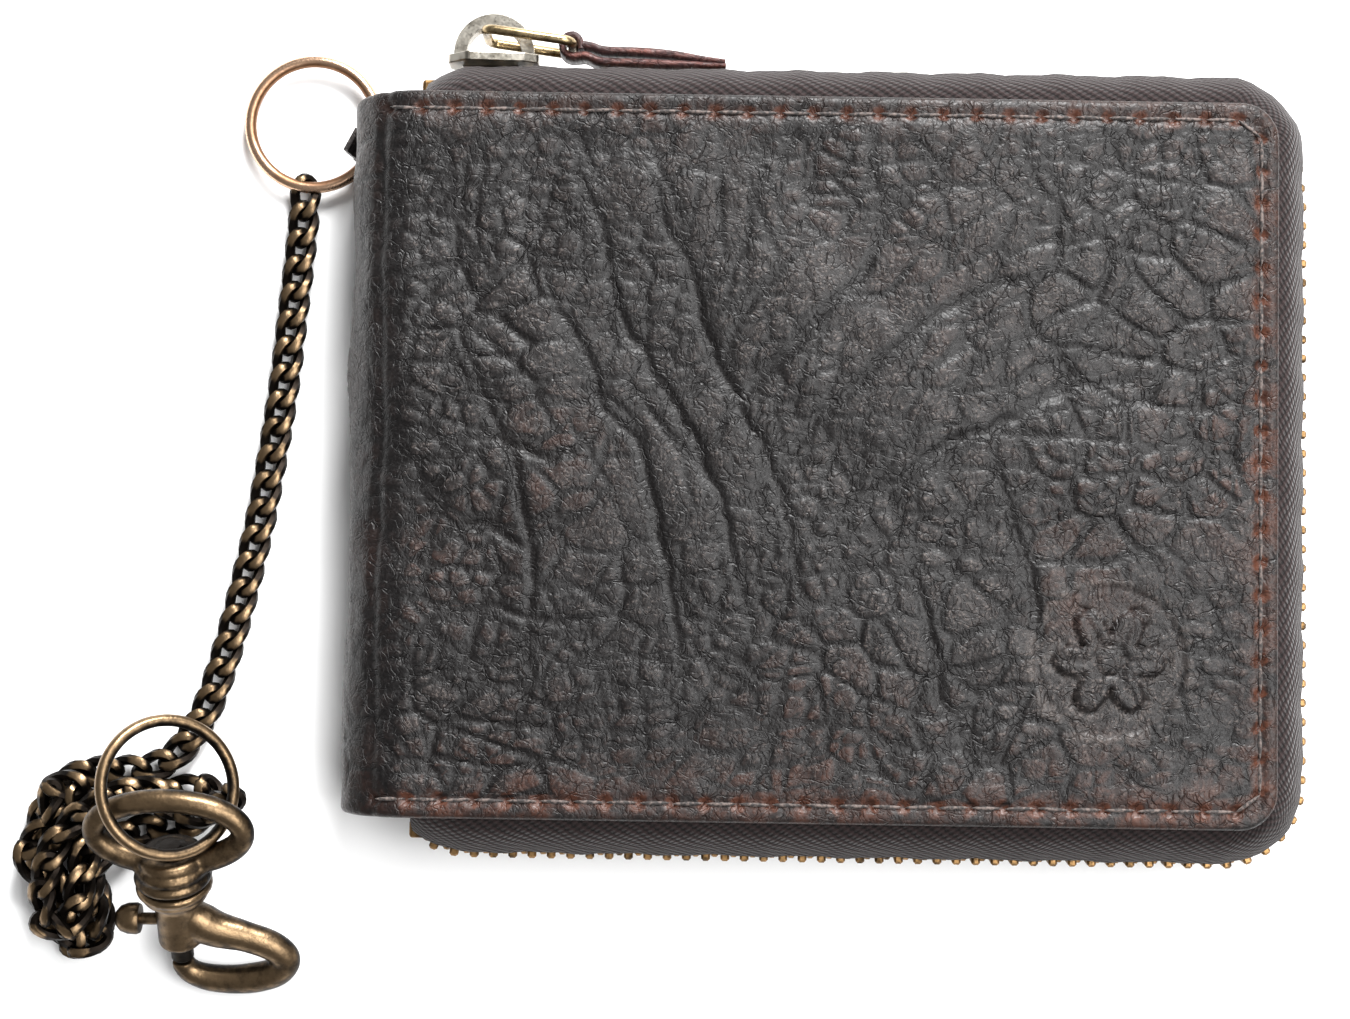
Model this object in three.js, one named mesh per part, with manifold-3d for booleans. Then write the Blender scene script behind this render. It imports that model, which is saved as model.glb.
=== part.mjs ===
// Zip-around leather wallet on a curb chain, lying closed on its rear cover.
// Millimetres, +Z up. The origin is the middle of the rear cover's flat outer face.
// +X points away from the spine, +Y towards the edge that carries the zip slider.
import * as THREE from 'three';
import { mergeVertices } from 'three/addons/utils/BufferGeometryUtils.js';
import Module from 'manifold-3d';

const wasm = await Module();
wasm.setup();

// ---------------------------------------------------------------- driving dimensions
const GAP = 0.3;                    // clearance between touching pieces

const COVER_WIDTH = 120;            // spine to opening edge
const COVER_HEIGHT = 93.2;
const COVER_CORNER = 5;
const THICKNESS = 22;               // closed wallet, outside to outside
const LEATHER = 1.5;
const BOARD = 0.7;
const LINING = 0.7;
const LEAF = 0.8;                   // one pocket leaf
const EDGE_INSET = 1;               // lining edge inside the leather edge

const SPINE_DEPTH = 9.5;            // how far the rounded spine stands off the flat covers

const ZIP_OUT = 4.2;                // middle of the zip chain beyond the cover edge
const ZIP_CORNER = 10;              // zip corner radius at that line
const TAPE = 0.7;
const TAPE_TUCK = 3.5;              // tape sewn in behind the cover edge
const TAPE_START = 9.8;             // tape ends, from the spine's outer face
const ROW_THICK = 2.2;              // thickness of the zip chain
const ROW_WIDTH = 2.3;              // width of one row of teeth
const CHANNEL = 1.4;                // between the rows, where the slider's web runs
const ROW_START = 10.4;             // first tooth at the slider end, from the spine
const ROW_END = 10;                 // last tooth at the other end, from the spine
const STOP_LENGTH = 2.2;

const POCKET_LEFT = 12;             // pocket leaves, from the spine's outer face
const POCKET_RIGHT = 4;             // and from the opening edge
const POCKET_FOOT = 4.2;            // and from the lower edge
const BILL_POCKET_HEIGHT = 72;
const COIN_POCKET_HEIGHT = 47;
const CARD_HEIGHTS = [66, 54, 42];  // stepped card slots, back one first
const CARD_COLUMN_GAP = 1.5;

const SLIDER_IN = 18.1;             // slider's middle at rest, from the spine
const SLIDER_LENGTH = 12;
const SLIDER_WIDTH = 8.4;
const SLIDER_PLATE = 1.2;
const SLIDER_WEB = 0.8;
const CROWN_LENGTH = 10.7;
const CROWN_HEIGHT = 5.4;
const CROWN_WALL = 1.7;
const CROWN_THICK = 2.2;

const PULL_WIRE = 1.3;              // diameter
const PULL_LENGTH = 11.5;           // between the middles of the end wires
const PULL_WIDTH = 7.8;
const PULL_BEND = 1.4;
const PULL_SLOPE = -7.5;            // degrees, at rest
const STRAP_LENGTH = 20.5;
const STRAP_WIDTH = 4.6;
const STRAP_EYE = 1.0;              // radius of the fold round the wire
const STRAP_LEATHER = 0.9;

const RING_WIRE = 1.6;              // wallet ring and lower ring
const RING_SIZE = 19;               // outside diameter
const RING_FOOT = 37.3;             // Y of the wallet ring's lower side
const RING_LAP = 1.6;               // how far the ring reaches over the spine
const RING_Z = 2;
const TAB_Y = 42;                   // where the leather tab holds the wallet ring
const TAB_WIDTH = 3.4;
const TAB_BORE = 1.2;
const TAB_LEATHER = 0.55;

const CHAIN_WIDTH = 4.4;            // curb chain lying flat
const CHAIN_THICK = 2.6;
const HEAP_HEIGHT = 6.2;

const SNAP_OUT = 21.7;              // swivel snap: middle of the swivel joint, from the spine
const SNAP_Y = -55.74;
const SNAP_Z = 11.1;
const SNAP_TILT = 33;               // degrees, eye end up
const EYE_HALF_WIDTH = 9.6;
const EYE_HALF_HEIGHT = 4.9;
const EYE_WIRE = 1.5;               // radius
const EYE_BOSS = 4.6;               // radius
const COLLAR = 5.1;                 // radius
const BARREL = 2.9;                 // radius
const BARREL_BORE = 1.9;            // radius
const BARREL_END = 10.4;            // from the swivel joint
const HOOK_WIRE = 1.8;              // radius
const BOLT = 1.55;                  // radius
const BOLT_TIP = 13.3;              // from the swivel joint, shut
const BOLT_TAIL = 5.6;
const KNOB_Y = 6.8;
const KNOB = 1.5;                   // radius
const KNOB_REACH = 6.9;             // barrel axis to the middle of the knob
const KNOB_STEM = 0.8;              // radius
const BOLT_TRAVEL = 3.2;
// The lower ring: the point of its wire inside the snap's eye, X from the spine, and its normal.
const LOWER_RING = { out: 21.0874, y: -52.1672, z: 17.2342, normal: [0.46, 0.16, 0.87] };

// ---------------------------------------------------------------- worked-out places
const SPINE_X = -COVER_WIDTH / 2;
const EDGE_X = COVER_WIDTH / 2;
const EDGE_Y = COVER_HEIGHT / 2;
const MID_Z = THICKNESS / 2;
const SLIDER_X = SPINE_X + SLIDER_IN;
const RING_RADIUS = (RING_SIZE - RING_WIRE) / 2;
const RING_X = SPINE_X + RING_LAP - RING_RADIUS;
const RING_Y = RING_FOOT + RING_RADIUS;
const FLAT_X = SPINE_X + SPINE_DEPTH;      // where the flat covers begin
const LAYER_1 = LEATHER + GAP;             // tape and board, from each outer face
const LAYER_2 = LAYER_1 + BOARD + GAP;     // lining
const LAYER_3 = LAYER_2 + LINING + GAP;    // first pocket leaf
const LAYER_STEP = LEAF + GAP;

// ---------------------------------------------------------------- finishes
const finish = (color, roughness, metalness = 0) =>
  () => new THREE.MeshStandardMaterial({ color, roughness, metalness });
const leather = finish('#3f3734', 0.55);
const pullLeather = finish('#3a2a29', 0.6);
const board = finish('#8b7355', 0.9);
const lining = finish('#241f1f', 0.8);
const tapeCloth = finish('#4a3a3c', 0.9);
const toothBrass = finish('#a8865a', 0.35, 1);
const nickel = finish('#c9c5bd', 0.25, 1);
const antiqueBrass = finish('#7d6a52', 0.4, 1);
const copperWire = finish('#c59a72', 0.3, 1);
const springSteel = finish('#8a8a8a', 0.35, 1);

// ---------------------------------------------------------------- helpers
const wallet = new THREE.Group();

function add(name, geometry, material, parent = wallet) {
  const mesh = new THREE.Mesh(geometry, material());
  mesh.name = name;
  parent.add(mesh);
  return mesh;
}

function bareVertices(geometry) {
  const bare = geometry.clone();
  bare.deleteAttribute('normal');
  bare.deleteAttribute('uv');
  return mergeVertices(bare, 1e-4);
}

function solid(geometry) {
  const merged = bareVertices(geometry);
  return new wasm.Manifold(new wasm.Mesh({
    numProp: 3,
    vertProperties: new Float32Array(merged.attributes.position.array),
    triVerts: new Uint32Array(merged.index.array),
  }));
}

function geometryOf(manifold) {
  const mesh = manifold.getMesh();
  const geometry = new THREE.BufferGeometry();
  geometry.setAttribute('position', new THREE.BufferAttribute(new Float32Array(mesh.vertProperties), 3));
  geometry.setIndex(new THREE.BufferAttribute(new Uint32Array(mesh.triVerts), 1));
  return geometry;
}

// A flat shape in XY, from one height to another.
function slab(shape, low, high, curveSegments = 6) {
  const geometry = new THREE.ExtrudeGeometry(shape, { depth: high - low, bevelEnabled: false, curveSegments });
  geometry.translate(0, 0, low);
  return geometry;
}

// A box from its two corners.
function block(low, high) {
  const size = high.map((value, i) => value - low[i]);
  const geometry = new THREE.BoxGeometry(...size);
  geometry.translate(...high.map((value, i) => (value + low[i]) / 2));
  return geometry;
}

// A rectangle whose two corners on the opening side are round.
function leafShape(left, right, bottom, top, radius) {
  const shape = new THREE.Shape();
  shape.moveTo(left, bottom);
  shape.lineTo(right - radius, bottom);
  shape.absarc(right - radius, bottom + radius, radius, -Math.PI / 2, 0, false);
  shape.lineTo(right, top - radius);
  shape.absarc(right - radius, top - radius, radius, 0, Math.PI / 2, false);
  shape.lineTo(left, top);
  shape.closePath();
  return shape;
}

function roundSection(radius, sides) {
  const shape = new THREE.Shape();
  for (let i = 0; i < sides; i += 1) {
    const angle = (2 * Math.PI * i) / sides;
    const point = [radius * Math.cos(angle), radius * Math.sin(angle)];
    if (i === 0) shape.moveTo(...point);
    else shape.lineTo(...point);
  }
  shape.closePath();
  return shape;
}

// A turned piece about its own Y axis, from [radius, height] pairs that start and end on the axis.
function turned(profile, segments = 20) {
  const points = profile.map(([radius, y]) => new THREE.Vector2(radius, y));
  const rising = points[0].y < points[points.length - 1].y;
  return new THREE.LatheGeometry(rising ? points : points.reverse(), segments);
}

// ---------------------------------------------------------------- covers, boards and pocket leaves
// Each half is a stack counted inwards from its outer face, so both halves share one rule.
function stack(front, start, thick) {
  return front ? [THICKNESS - start - thick, THICKNESS - start] : [start, start + thick];
}

function addStackLeaf(name, shape, front, start, thick, material) {
  const [low, high] = stack(front, start, thick);
  add(name, slab(shape, low, high), material);
}

function addHalf(side, front) {
  const cover = leafShape(FLAT_X + GAP, EDGE_X, -EDGE_Y, EDGE_Y, COVER_CORNER);
  addStackLeaf(`${side}_cover`, cover, front, 0, LEATHER, leather);
  const tuck = TAPE_TUCK + GAP;
  const boardRadius = Math.max(COVER_CORNER - tuck, 1);
  const boardShape = leafShape(FLAT_X + 1.5, EDGE_X - tuck, -EDGE_Y + tuck, EDGE_Y - tuck, boardRadius);
  addStackLeaf(`${side}_board`, boardShape, front, LAYER_1, BOARD, board);
  const inset = EDGE_INSET;
  const liningShape = leafShape(FLAT_X, EDGE_X - inset, -EDGE_Y + inset, EDGE_Y - inset, COVER_CORNER - inset);
  addStackLeaf(`${side}_lining`, liningShape, front, LAYER_2, LINING, lining);
}

function addPocket(name, front, layer, left, right, height) {
  const foot = -EDGE_Y + POCKET_FOOT;
  const shape = leafShape(left, right, foot, foot + height, 1.5);
  addStackLeaf(name, shape, front, LAYER_3 + layer * LAYER_STEP, LEAF, lining);
}

function addPockets() {
  const left = SPINE_X + POCKET_LEFT;
  const right = EDGE_X - POCKET_RIGHT;
  addPocket('bill_pocket', false, 0, left, right, BILL_POCKET_HEIGHT);
  addPocket('coin_pocket', false, 1, left, right, COIN_POCKET_HEIGHT);
  const middle = (left + right) / 2;
  CARD_HEIGHTS.forEach((height, i) => {
    addPocket(`card_slot_left_${i + 1}`, true, i, left, middle - CARD_COLUMN_GAP / 2, height);
    addPocket(`card_slot_right_${i + 1}`, true, i, middle + CARD_COLUMN_GAP / 2, right, height);
  });
}

// ---------------------------------------------------------------- spine
// A half-oval band that joins the covers, its ends flush with their faces.
function spineBand(inset, thick) {
  const shape = new THREE.Shape();
  const outerX = SPINE_DEPTH - inset;
  const outerZ = MID_Z - inset;
  shape.absellipse(FLAT_X, MID_Z, outerX, outerZ, Math.PI / 2, 1.5 * Math.PI, false);
  shape.absellipse(FLAT_X, MID_Z, outerX - thick, outerZ - thick, 1.5 * Math.PI, Math.PI / 2, true);
  shape.closePath();
  return shape;
}

// Shapes drawn in X and Z are extruded along Y by turning the slab up.
function alongY(shape, low, high, curveSegments) {
  const geometry = slab(shape, low, high, curveSegments);
  geometry.rotateX(Math.PI / 2);
  geometry.scale(1, -1, 1);
  return flipped(geometry);
}

// Reverses the triangles of a geometry that was mirrored.
function flipped(geometry) {
  const position = geometry.attributes.position;
  for (let i = 0; i < position.count; i += 3) {
    const first = new THREE.Vector3().fromBufferAttribute(position, i);
    const last = new THREE.Vector3().fromBufferAttribute(position, i + 2);
    position.setXYZ(i, last.x, last.y, last.z);
    position.setXYZ(i + 2, first.x, first.y, first.z);
  }
  geometry.computeVertexNormals();
  return geometry;
}

function addSpine() {
  add('spine_wrap', alongY(spineBand(0, LEATHER), -EDGE_Y, EDGE_Y, 16), leather);
  const lined = EDGE_Y - EDGE_INSET;
  add('spine_lining', alongY(spineBand(LAYER_2, LINING), -lined, lined, 16), lining);
}

// ---------------------------------------------------------------- zip
// The line that the zip follows round three sides of the covers, in even steps along each stretch
// and each corner.
class ZipLine extends THREE.Curve {
  constructor() {
    super();
    this.cornerX = EDGE_X + ZIP_OUT - ZIP_CORNER;
    this.cornerY = EDGE_Y + ZIP_OUT - ZIP_CORNER;
    this.startX = SPINE_X + TAPE_START;
  }

  getUtoTmapping(u) {
    return u;
  }

  getPoint(t) {
    const step = t * ZipLine.steps;
    const { cornerX, cornerY, startX } = this;
    if (step <= 2) {
      return new THREE.Vector3(startX + ((cornerX - startX) * step) / 2, cornerY + ZIP_CORNER, 0);
    }
    if (step <= 8) return this.corner(cornerX, cornerY, Math.PI / 2 - ((step - 2) / 6) * (Math.PI / 2));
    if (step <= 10) return new THREE.Vector3(cornerX + ZIP_CORNER, cornerY - cornerY * (step - 8), 0);
    if (step <= 16) return this.corner(cornerX, -cornerY, -((step - 10) / 6) * (Math.PI / 2));
    return new THREE.Vector3(cornerX - ((cornerX - startX) * (step - 16)) / 2, -cornerY - ZIP_CORNER, 0);
  }

  corner(x, y, angle) {
    return new THREE.Vector3(x + ZIP_CORNER * Math.cos(angle), y + ZIP_CORNER * Math.sin(angle), 0);
  }
}
ZipLine.steps = 18;

// Half of the zip tape in section: [distance beyond the cover edge, height above the middle].
function tapeLine() {
  const top = MID_Z - LAYER_1 - TAPE / 2;
  const foot = CHANNEL / 2 + ROW_WIDTH + GAP;
  return [
    [ZIP_OUT, foot],
    [ZIP_OUT - 0.2, foot + 1.5],
    [ZIP_OUT - 1.3, top - 1.5],
    [ZIP_OUT - 3.4, top - 0.15],
    [-TAPE_TUCK + 0.05, top],
  ];
}

// The section is a ribbon of even thickness round that line. Extruded along the zip line, a
// section's x is minus the height and its y is the distance out.
function tapeSection(front) {
  const line = tapeLine();
  const side = (sign) => line.map((point, i) => {
    const before = line[Math.max(i - 1, 0)];
    const after = line[Math.min(i + 1, line.length - 1)];
    const run = [after[0] - before[0], after[1] - before[1]];
    const length = Math.hypot(...run);
    const out = point[0] - (sign * run[1] * TAPE) / 2 / length;
    const up = point[1] + (sign * run[0] * TAPE) / 2 / length;
    const height = front ? MID_Z + up : MID_Z - up;
    return new THREE.Vector2(-height, out - ZIP_OUT);
  });
  return new THREE.Shape([...side(1), ...side(-1).reverse()]);
}

// One row of teeth in plan: a band that follows the zip line.
function rowShape() {
  const half = ROW_THICK / 2;
  const top = EDGE_Y + ZIP_OUT;
  const right = EDGE_X + ZIP_OUT;
  const start = SPINE_X + ROW_START;
  const end = SPINE_X + ROW_END;
  const cornerX = right - ZIP_CORNER;
  const cornerY = top - ZIP_CORNER;
  const shape = new THREE.Shape();
  shape.moveTo(start, top + half);
  shape.lineTo(cornerX, top + half);
  shape.absarc(cornerX, cornerY, ZIP_CORNER + half, Math.PI / 2, 0, true);
  shape.lineTo(right + half, -cornerY);
  shape.absarc(cornerX, -cornerY, ZIP_CORNER + half, 0, -Math.PI / 2, true);
  shape.lineTo(end, -top - half);
  shape.lineTo(end, -top + half);
  shape.lineTo(cornerX, -top + half);
  shape.absarc(cornerX, -cornerY, ZIP_CORNER - half, -Math.PI / 2, 0, false);
  shape.lineTo(right - half, cornerY);
  shape.absarc(cornerX, cornerY, ZIP_CORNER - half, 0, Math.PI / 2, false);
  shape.lineTo(start, top - half);
  shape.closePath();
  return shape;
}

function rowHeights(front) {
  const near = CHANNEL / 2;
  const far = near + ROW_WIDTH;
  return front ? [MID_Z + near, MID_Z + far] : [MID_Z - far, MID_Z - near];
}

function addZipHalf(side, front) {
  const tape = new THREE.ExtrudeGeometry(tapeSection(front), {
    steps: ZipLine.steps, bevelEnabled: false, extrudePath: new ZipLine(),
  });
  add(`${side}_zip_tape`, tape, tapeCloth);
  add(`${side}_zip_teeth`, slab(rowShape(), ...rowHeights(front), 6), toothBrass);
  const stopEnd = SPINE_X + ROW_START - GAP;
  const [low, high] = rowHeights(front);
  const half = ROW_THICK / 2 + 0.1;
  const y = EDGE_Y + ZIP_OUT;
  add(`${side}_top_stop`, block([stopEnd - STOP_LENGTH, y - half, low], [stopEnd, y + half, high]), toothBrass);
}

function addBottomStop() {
  const end = SPINE_X + ROW_END - GAP;
  const y = -EDGE_Y - ZIP_OUT;
  const half = ROW_THICK / 2 + 0.1;
  const low = [end - STOP_LENGTH, y - half, MID_Z - 1.5];
  const high = [end, y + half, MID_Z + 1.5];
  add('bottom_stop', block(low, high), toothBrass);
}

// ---------------------------------------------------------------- slider, pull ring and leather pull
const ROW_TOP = EDGE_Y + ZIP_OUT + ROW_THICK / 2;
const ROW_BOTTOM = EDGE_Y + ZIP_OUT - ROW_THICK / 2;
const PLATE_TOP = ROW_TOP + GAP + SLIDER_PLATE;

// One plate of the slider seen square on: narrow at the tail, wide at the shoulders.
function sliderPlate() {
  const half = SLIDER_LENGTH / 2;
  const wide = SLIDER_WIDTH / 2;
  const shape = new THREE.Shape();
  shape.moveTo(-half, -wide * 0.45);
  shape.lineTo(-half * 0.55, -wide);
  shape.lineTo(half * 0.7, -wide * 0.86);
  shape.lineTo(half, -wide * 0.6);
  shape.lineTo(half, wide * 0.6);
  shape.lineTo(half * 0.7, wide * 0.86);
  shape.lineTo(-half * 0.55, wide);
  shape.lineTo(-half, wide * 0.45);
  shape.closePath();
  return shape;
}

function addSlider() {
  const place = (geometry) => geometry.translate(SLIDER_X, 0, MID_Z);
  const outer = place(alongY(sliderPlate(), ROW_TOP + GAP, PLATE_TOP));
  const inner = place(alongY(sliderPlate(), ROW_BOTTOM - GAP - SLIDER_PLATE, ROW_BOTTOM - GAP));
  const web = block(
    [SLIDER_X - SLIDER_LENGTH / 3, ROW_BOTTOM - GAP - SLIDER_PLATE / 2, MID_Z - SLIDER_WEB / 2],
    [SLIDER_X + SLIDER_LENGTH / 4, ROW_TOP + GAP + SLIDER_PLATE / 2, MID_Z + SLIDER_WEB / 2],
  );
  const body = solid(outer).add(solid(inner)).add(solid(web));
  add('slider_body', geometryOf(body), nickel);
}

function addCrown() {
  const base = PLATE_TOP + GAP;
  const half = CROWN_LENGTH / 2;
  const shape = new THREE.Shape();
  shape.absellipse(SLIDER_X, base, half, CROWN_HEIGHT, 0, Math.PI, false);
  shape.absellipse(SLIDER_X, base, half - CROWN_WALL, CROWN_HEIGHT - CROWN_WALL, Math.PI, 0, true);
  shape.closePath();
  add('slider_crown', slab(shape, MID_Z - CROWN_THICK / 2, MID_Z + CROWN_THICK / 2, 14), nickel);
}

// The wire's near end passes under the crown, where the pull ring turns.
const PULL_X = SLIDER_X - 1;
const PULL_Y = PLATE_TOP + GAP + CROWN_HEIGHT - CROWN_WALL - PULL_WIRE / 2 - 0.35;

// A rounded rectangle of wire lying in X and Z, its near end at the origin.
class WireLoop extends THREE.Curve {
  constructor(length, width, bend) {
    super();
    const half = width / 2;
    const corner = (x, z, from) => ({ x, z, from });
    this.bend = bend;
    this.corners = [
      corner(length - bend, half - bend, Math.PI / 2),
      corner(length - bend, bend - half, 0),
      corner(bend, bend - half, -Math.PI / 2),
      corner(bend, half - bend, -Math.PI),
    ];
  }

  getUtoTmapping(u) {
    return u;
  }

  getPoint(t) {
    const step = (t % 1) * WireLoop.steps;
    const side = Math.floor(step / 5) % 4;
    const along = step - side * 5;
    const at = ({ x, z, from }, turn) => new THREE.Vector3(
      x + this.bend * Math.cos(from - turn), 0, z + this.bend * Math.sin(from - turn),
    );
    if (along <= 4) return at(this.corners[side], (along / 4) * (Math.PI / 2));
    const end = at(this.corners[side], Math.PI / 2);
    return end.lerp(at(this.corners[(side + 1) % 4], 0), along - 4);
  }
}
WireLoop.steps = 20;

// A closed loop of wire: the tube is swept round the curve and its two ends are the same ring.
function closedTube(curve, radius, steps, sides) {
  const frames = curve.computeFrenetFrames(steps, true);
  const vertices = [];
  const index = [];
  for (let i = 0; i < steps; i += 1) {
    const centre = curve.getPointAt(i / steps);
    for (let j = 0; j < sides; j += 1) {
      const angle = (2 * Math.PI * j) / sides;
      const point = centre.clone()
        .addScaledVector(frames.normals[i], radius * Math.cos(angle))
        .addScaledVector(frames.binormals[i], radius * Math.sin(angle));
      vertices.push(point.x, point.y, point.z);
      const a = i * sides + j;
      const b = i * sides + ((j + 1) % sides);
      const c = ((i + 1) % steps) * sides + j;
      const d = ((i + 1) % steps) * sides + ((j + 1) % sides);
      index.push(a, b, c, b, d, c);
    }
  }
  const geometry = new THREE.BufferGeometry();
  geometry.setAttribute('position', new THREE.Float32BufferAttribute(vertices, 3));
  geometry.setIndex(index);
  return geometry;
}

function addPull() {
  const turn = new THREE.Group();
  turn.position.set(PULL_X, PULL_Y, MID_Z);
  turn.rotation.z = THREE.MathUtils.degToRad(PULL_SLOPE);
  wallet.add(turn);
  const loop = new WireLoop(PULL_LENGTH, PULL_WIDTH, PULL_BEND);
  add('pull_ring', closedTube(loop, PULL_WIRE / 2, WireLoop.steps, 8), toothBrass, turn);

  const strap = new THREE.Group();
  const slope = THREE.MathUtils.degToRad(PULL_SLOPE);
  strap.position.set(PULL_X + PULL_LENGTH * Math.cos(slope), PULL_Y + PULL_LENGTH * Math.sin(slope), MID_Z);
  wallet.add(strap);
  const outer = STRAP_EYE + STRAP_LEATHER;
  const foot = ROW_TOP + GAP - strap.position.y;
  const shape = new THREE.Shape();
  shape.absarc(0, 0, outer, 0.25 * Math.PI, 1.45 * Math.PI, false);
  shape.lineTo(2.5, foot);
  shape.lineTo(STRAP_LENGTH, foot);
  shape.lineTo(STRAP_LENGTH - 0.6, foot + 0.7);
  shape.lineTo(STRAP_LENGTH * 0.6, foot + 2.2);
  shape.lineTo(STRAP_LENGTH * 0.3, foot + 2.5);
  shape.closePath();
  const eye = new THREE.Path();
  eye.absarc(0, 0, STRAP_EYE, 0, 2 * Math.PI, true);
  shape.holes.push(eye);
  add('leather_pull', slab(shape, -STRAP_WIDTH / 2, STRAP_WIDTH / 2, 8), pullLeather, strap);
}

// ---------------------------------------------------------------- wallet ring and its tab

function ringGeometry() {
  return new THREE.TorusGeometry(RING_RADIUS, RING_WIRE / 2, 8, 32);
}

function addWalletRing() {
  const ring = add('wallet_ring', ringGeometry(), copperWire);
  ring.position.set(RING_X, RING_Y, RING_Z);
}

// A loop of leather round the ring's wire, with a tail that runs up the spine.
function addRingTab() {
  const angle = Math.asin((TAB_Y - RING_Y) / RING_RADIUS);
  const tab = new THREE.Group();
  tab.position.set(RING_X + RING_RADIUS * Math.cos(angle), TAB_Y, RING_Z);
  tab.rotation.z = angle;
  wallet.add(tab);
  const outer = TAB_BORE + TAB_LEATHER;
  const shape = new THREE.Shape();
  shape.absarc(0, 0, outer, 0.8 * Math.PI, 2.5 * Math.PI, false);
  shape.lineTo(-1.2, outer + 1.2);
  shape.lineTo(-1.9, outer + 3.2);
  shape.lineTo(-2.5, outer + 3.2);
  shape.lineTo(-2.2, outer + 0.8);
  shape.closePath();
  const bore = new THREE.Path();
  bore.absarc(0, 0, TAB_BORE, 0, 2 * Math.PI, true);
  shape.holes.push(bore);
  const bent = alongY(shape, -TAB_WIDTH / 2, TAB_WIDTH / 2, 10);
  add('ring_tab', bent, leather, tab);
}

// ---------------------------------------------------------------- chain
// The free stretch of the chain from the wallet ring to the heap: X from the spine, and Y.
const CHAIN_ROUTE = [
  [-8.2, 36.0], [-8.4, 31.8], [-9.0, 25.0], [-9.6, 19.0], [-10.2, 12.5], [-11.2, 4.6],
  [-12.2, -2.0], [-13.3, -8.6], [-15.2, -17.5], [-17.3, -26.0], [-19.6, -33.4], [-21.4, -37.2],
];
// The outline of the heap that the rest of the chain lies in, X from the spine.
const HEAP_OUTLINE = [
  [-44.0, -42.5], [-38.0, -39.8], [-28.0, -38.4], [-18.0, -38.4], [-14.2, -42], [-14.4, -47], [-18.0, -50.3],
  [-27.0, -51.2], [-31.0, -54], [-31.6, -60], [-30.6, -65.5], [-34.0, -68.5], [-39.0, -66.5], [-44.0, -60.5],
  [-47.4, -55], [-47.0, -47],
];

function addChain() {
  const height = CHAIN_THICK / 2 + 0.15;
  const points = CHAIN_ROUTE.map(([x, y]) => new THREE.Vector3(SPINE_X + x, y, height));
  const route = new THREE.CatmullRomCurve3(points);
  const section = new THREE.Shape();
  for (let i = 0; i < 8; i += 1) {
    const angle = (Math.PI * (i + 0.5)) / 4;
    const point = [(CHAIN_THICK / 2) * Math.cos(angle), (CHAIN_WIDTH / 2) * Math.sin(angle)];
    if (i === 0) section.moveTo(...point);
    else section.lineTo(...point);
  }
  section.closePath();
  const run = new THREE.ExtrudeGeometry(section, { steps: 12, bevelEnabled: false, extrudePath: route });
  add('chain_run', run, antiqueBrass);

  const rim = HEAP_OUTLINE.map(([x, y]) => new THREE.Vector2(SPINE_X + x, y));
  const outline = new THREE.Shape(rim);
  const bevel = 1.8;
  const heap = new THREE.ExtrudeGeometry(outline, {
    depth: HEAP_HEIGHT - 0.15 - 2 * bevel,
    bevelEnabled: true,
    bevelThickness: bevel,
    bevelSize: bevel,
    bevelOffset: -bevel,
    bevelSegments: 1,
  });
  heap.translate(0, 0, 0.15 + bevel);
  add('chain_heap', heap, antiqueBrass);
}

function addLowerRing() {
  const ring = add('lower_ring', ringGeometry(), antiqueBrass);
  const normal = new THREE.Vector3(...LOWER_RING.normal).normalize();
  const reach = new THREE.Vector3(0, 1, 0).projectOnPlane(normal).setLength(RING_RADIUS);
  ring.position.set(SPINE_X - LOWER_RING.out, LOWER_RING.y, LOWER_RING.z).add(reach);
  ring.quaternion.setFromUnitVectors(new THREE.Vector3(0, 0, 1), normal);
}

// ---------------------------------------------------------------- swivel snap
// Built flat with its long axis on Y, the eye at +Y and the hook at -Y, then tilted.
const snap = new THREE.Group();
snap.position.set(SPINE_X - SNAP_OUT, SNAP_Y, SNAP_Z);
snap.rotation.x = THREE.MathUtils.degToRad(SNAP_TILT);
wallet.add(snap);

const STUD = 1.3;                   // radius of the swivel stud
const STUD_HEAD = 2.2;
const BOSS_TOP = 4.4;               // the eye's boss, from the swivel joint
const EYE_MIDDLE = 7.7;

function eyeLoop() {
  class Oval extends THREE.Curve {
    getPoint(t) {
      const angle = 2 * Math.PI * t;
      return new THREE.Vector3(
        EYE_HALF_WIDTH * Math.cos(angle), EYE_MIDDLE + EYE_HALF_HEIGHT * Math.sin(angle), 0,
      );
    }
  }
  return closedTube(new Oval(), EYE_WIRE, 32, 8);
}

function addEye() {
  const boss = turned([
    [0, 0.15], [COLLAR - 0.4, 0.15], [COLLAR, 0.5], [COLLAR, 1.3], [EYE_BOSS - 0.4, 1.5],
    [EYE_BOSS - 0.4, 1.9], [EYE_BOSS, 2.2], [EYE_BOSS, 3.0], [EYE_BOSS - 1.2, BOSS_TOP], [0, BOSS_TOP],
  ]);
  const bore = turned([[0, -1], [STUD + GAP, -1], [STUD + GAP, BOSS_TOP + 3], [0, BOSS_TOP + 3]], 16);
  const eye = solid(eyeLoop()).add(solid(boss)).subtract(solid(bore));
  add('swivel_eye', geometryOf(eye), antiqueBrass, snap);
}

function addStud() {
  const top = BOSS_TOP + GAP;
  const stud = turned([
    [0, -0.9], [STUD - 0.2, -0.9], [STUD, -0.7], [STUD, top], [STUD_HEAD, top], [STUD_HEAD, top + 0.4],
    [STUD_HEAD * 0.6, top + 0.9], [0, top + 1],
  ], 16);
  add('swivel_stud', stud, antiqueBrass, snap);
}

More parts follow.
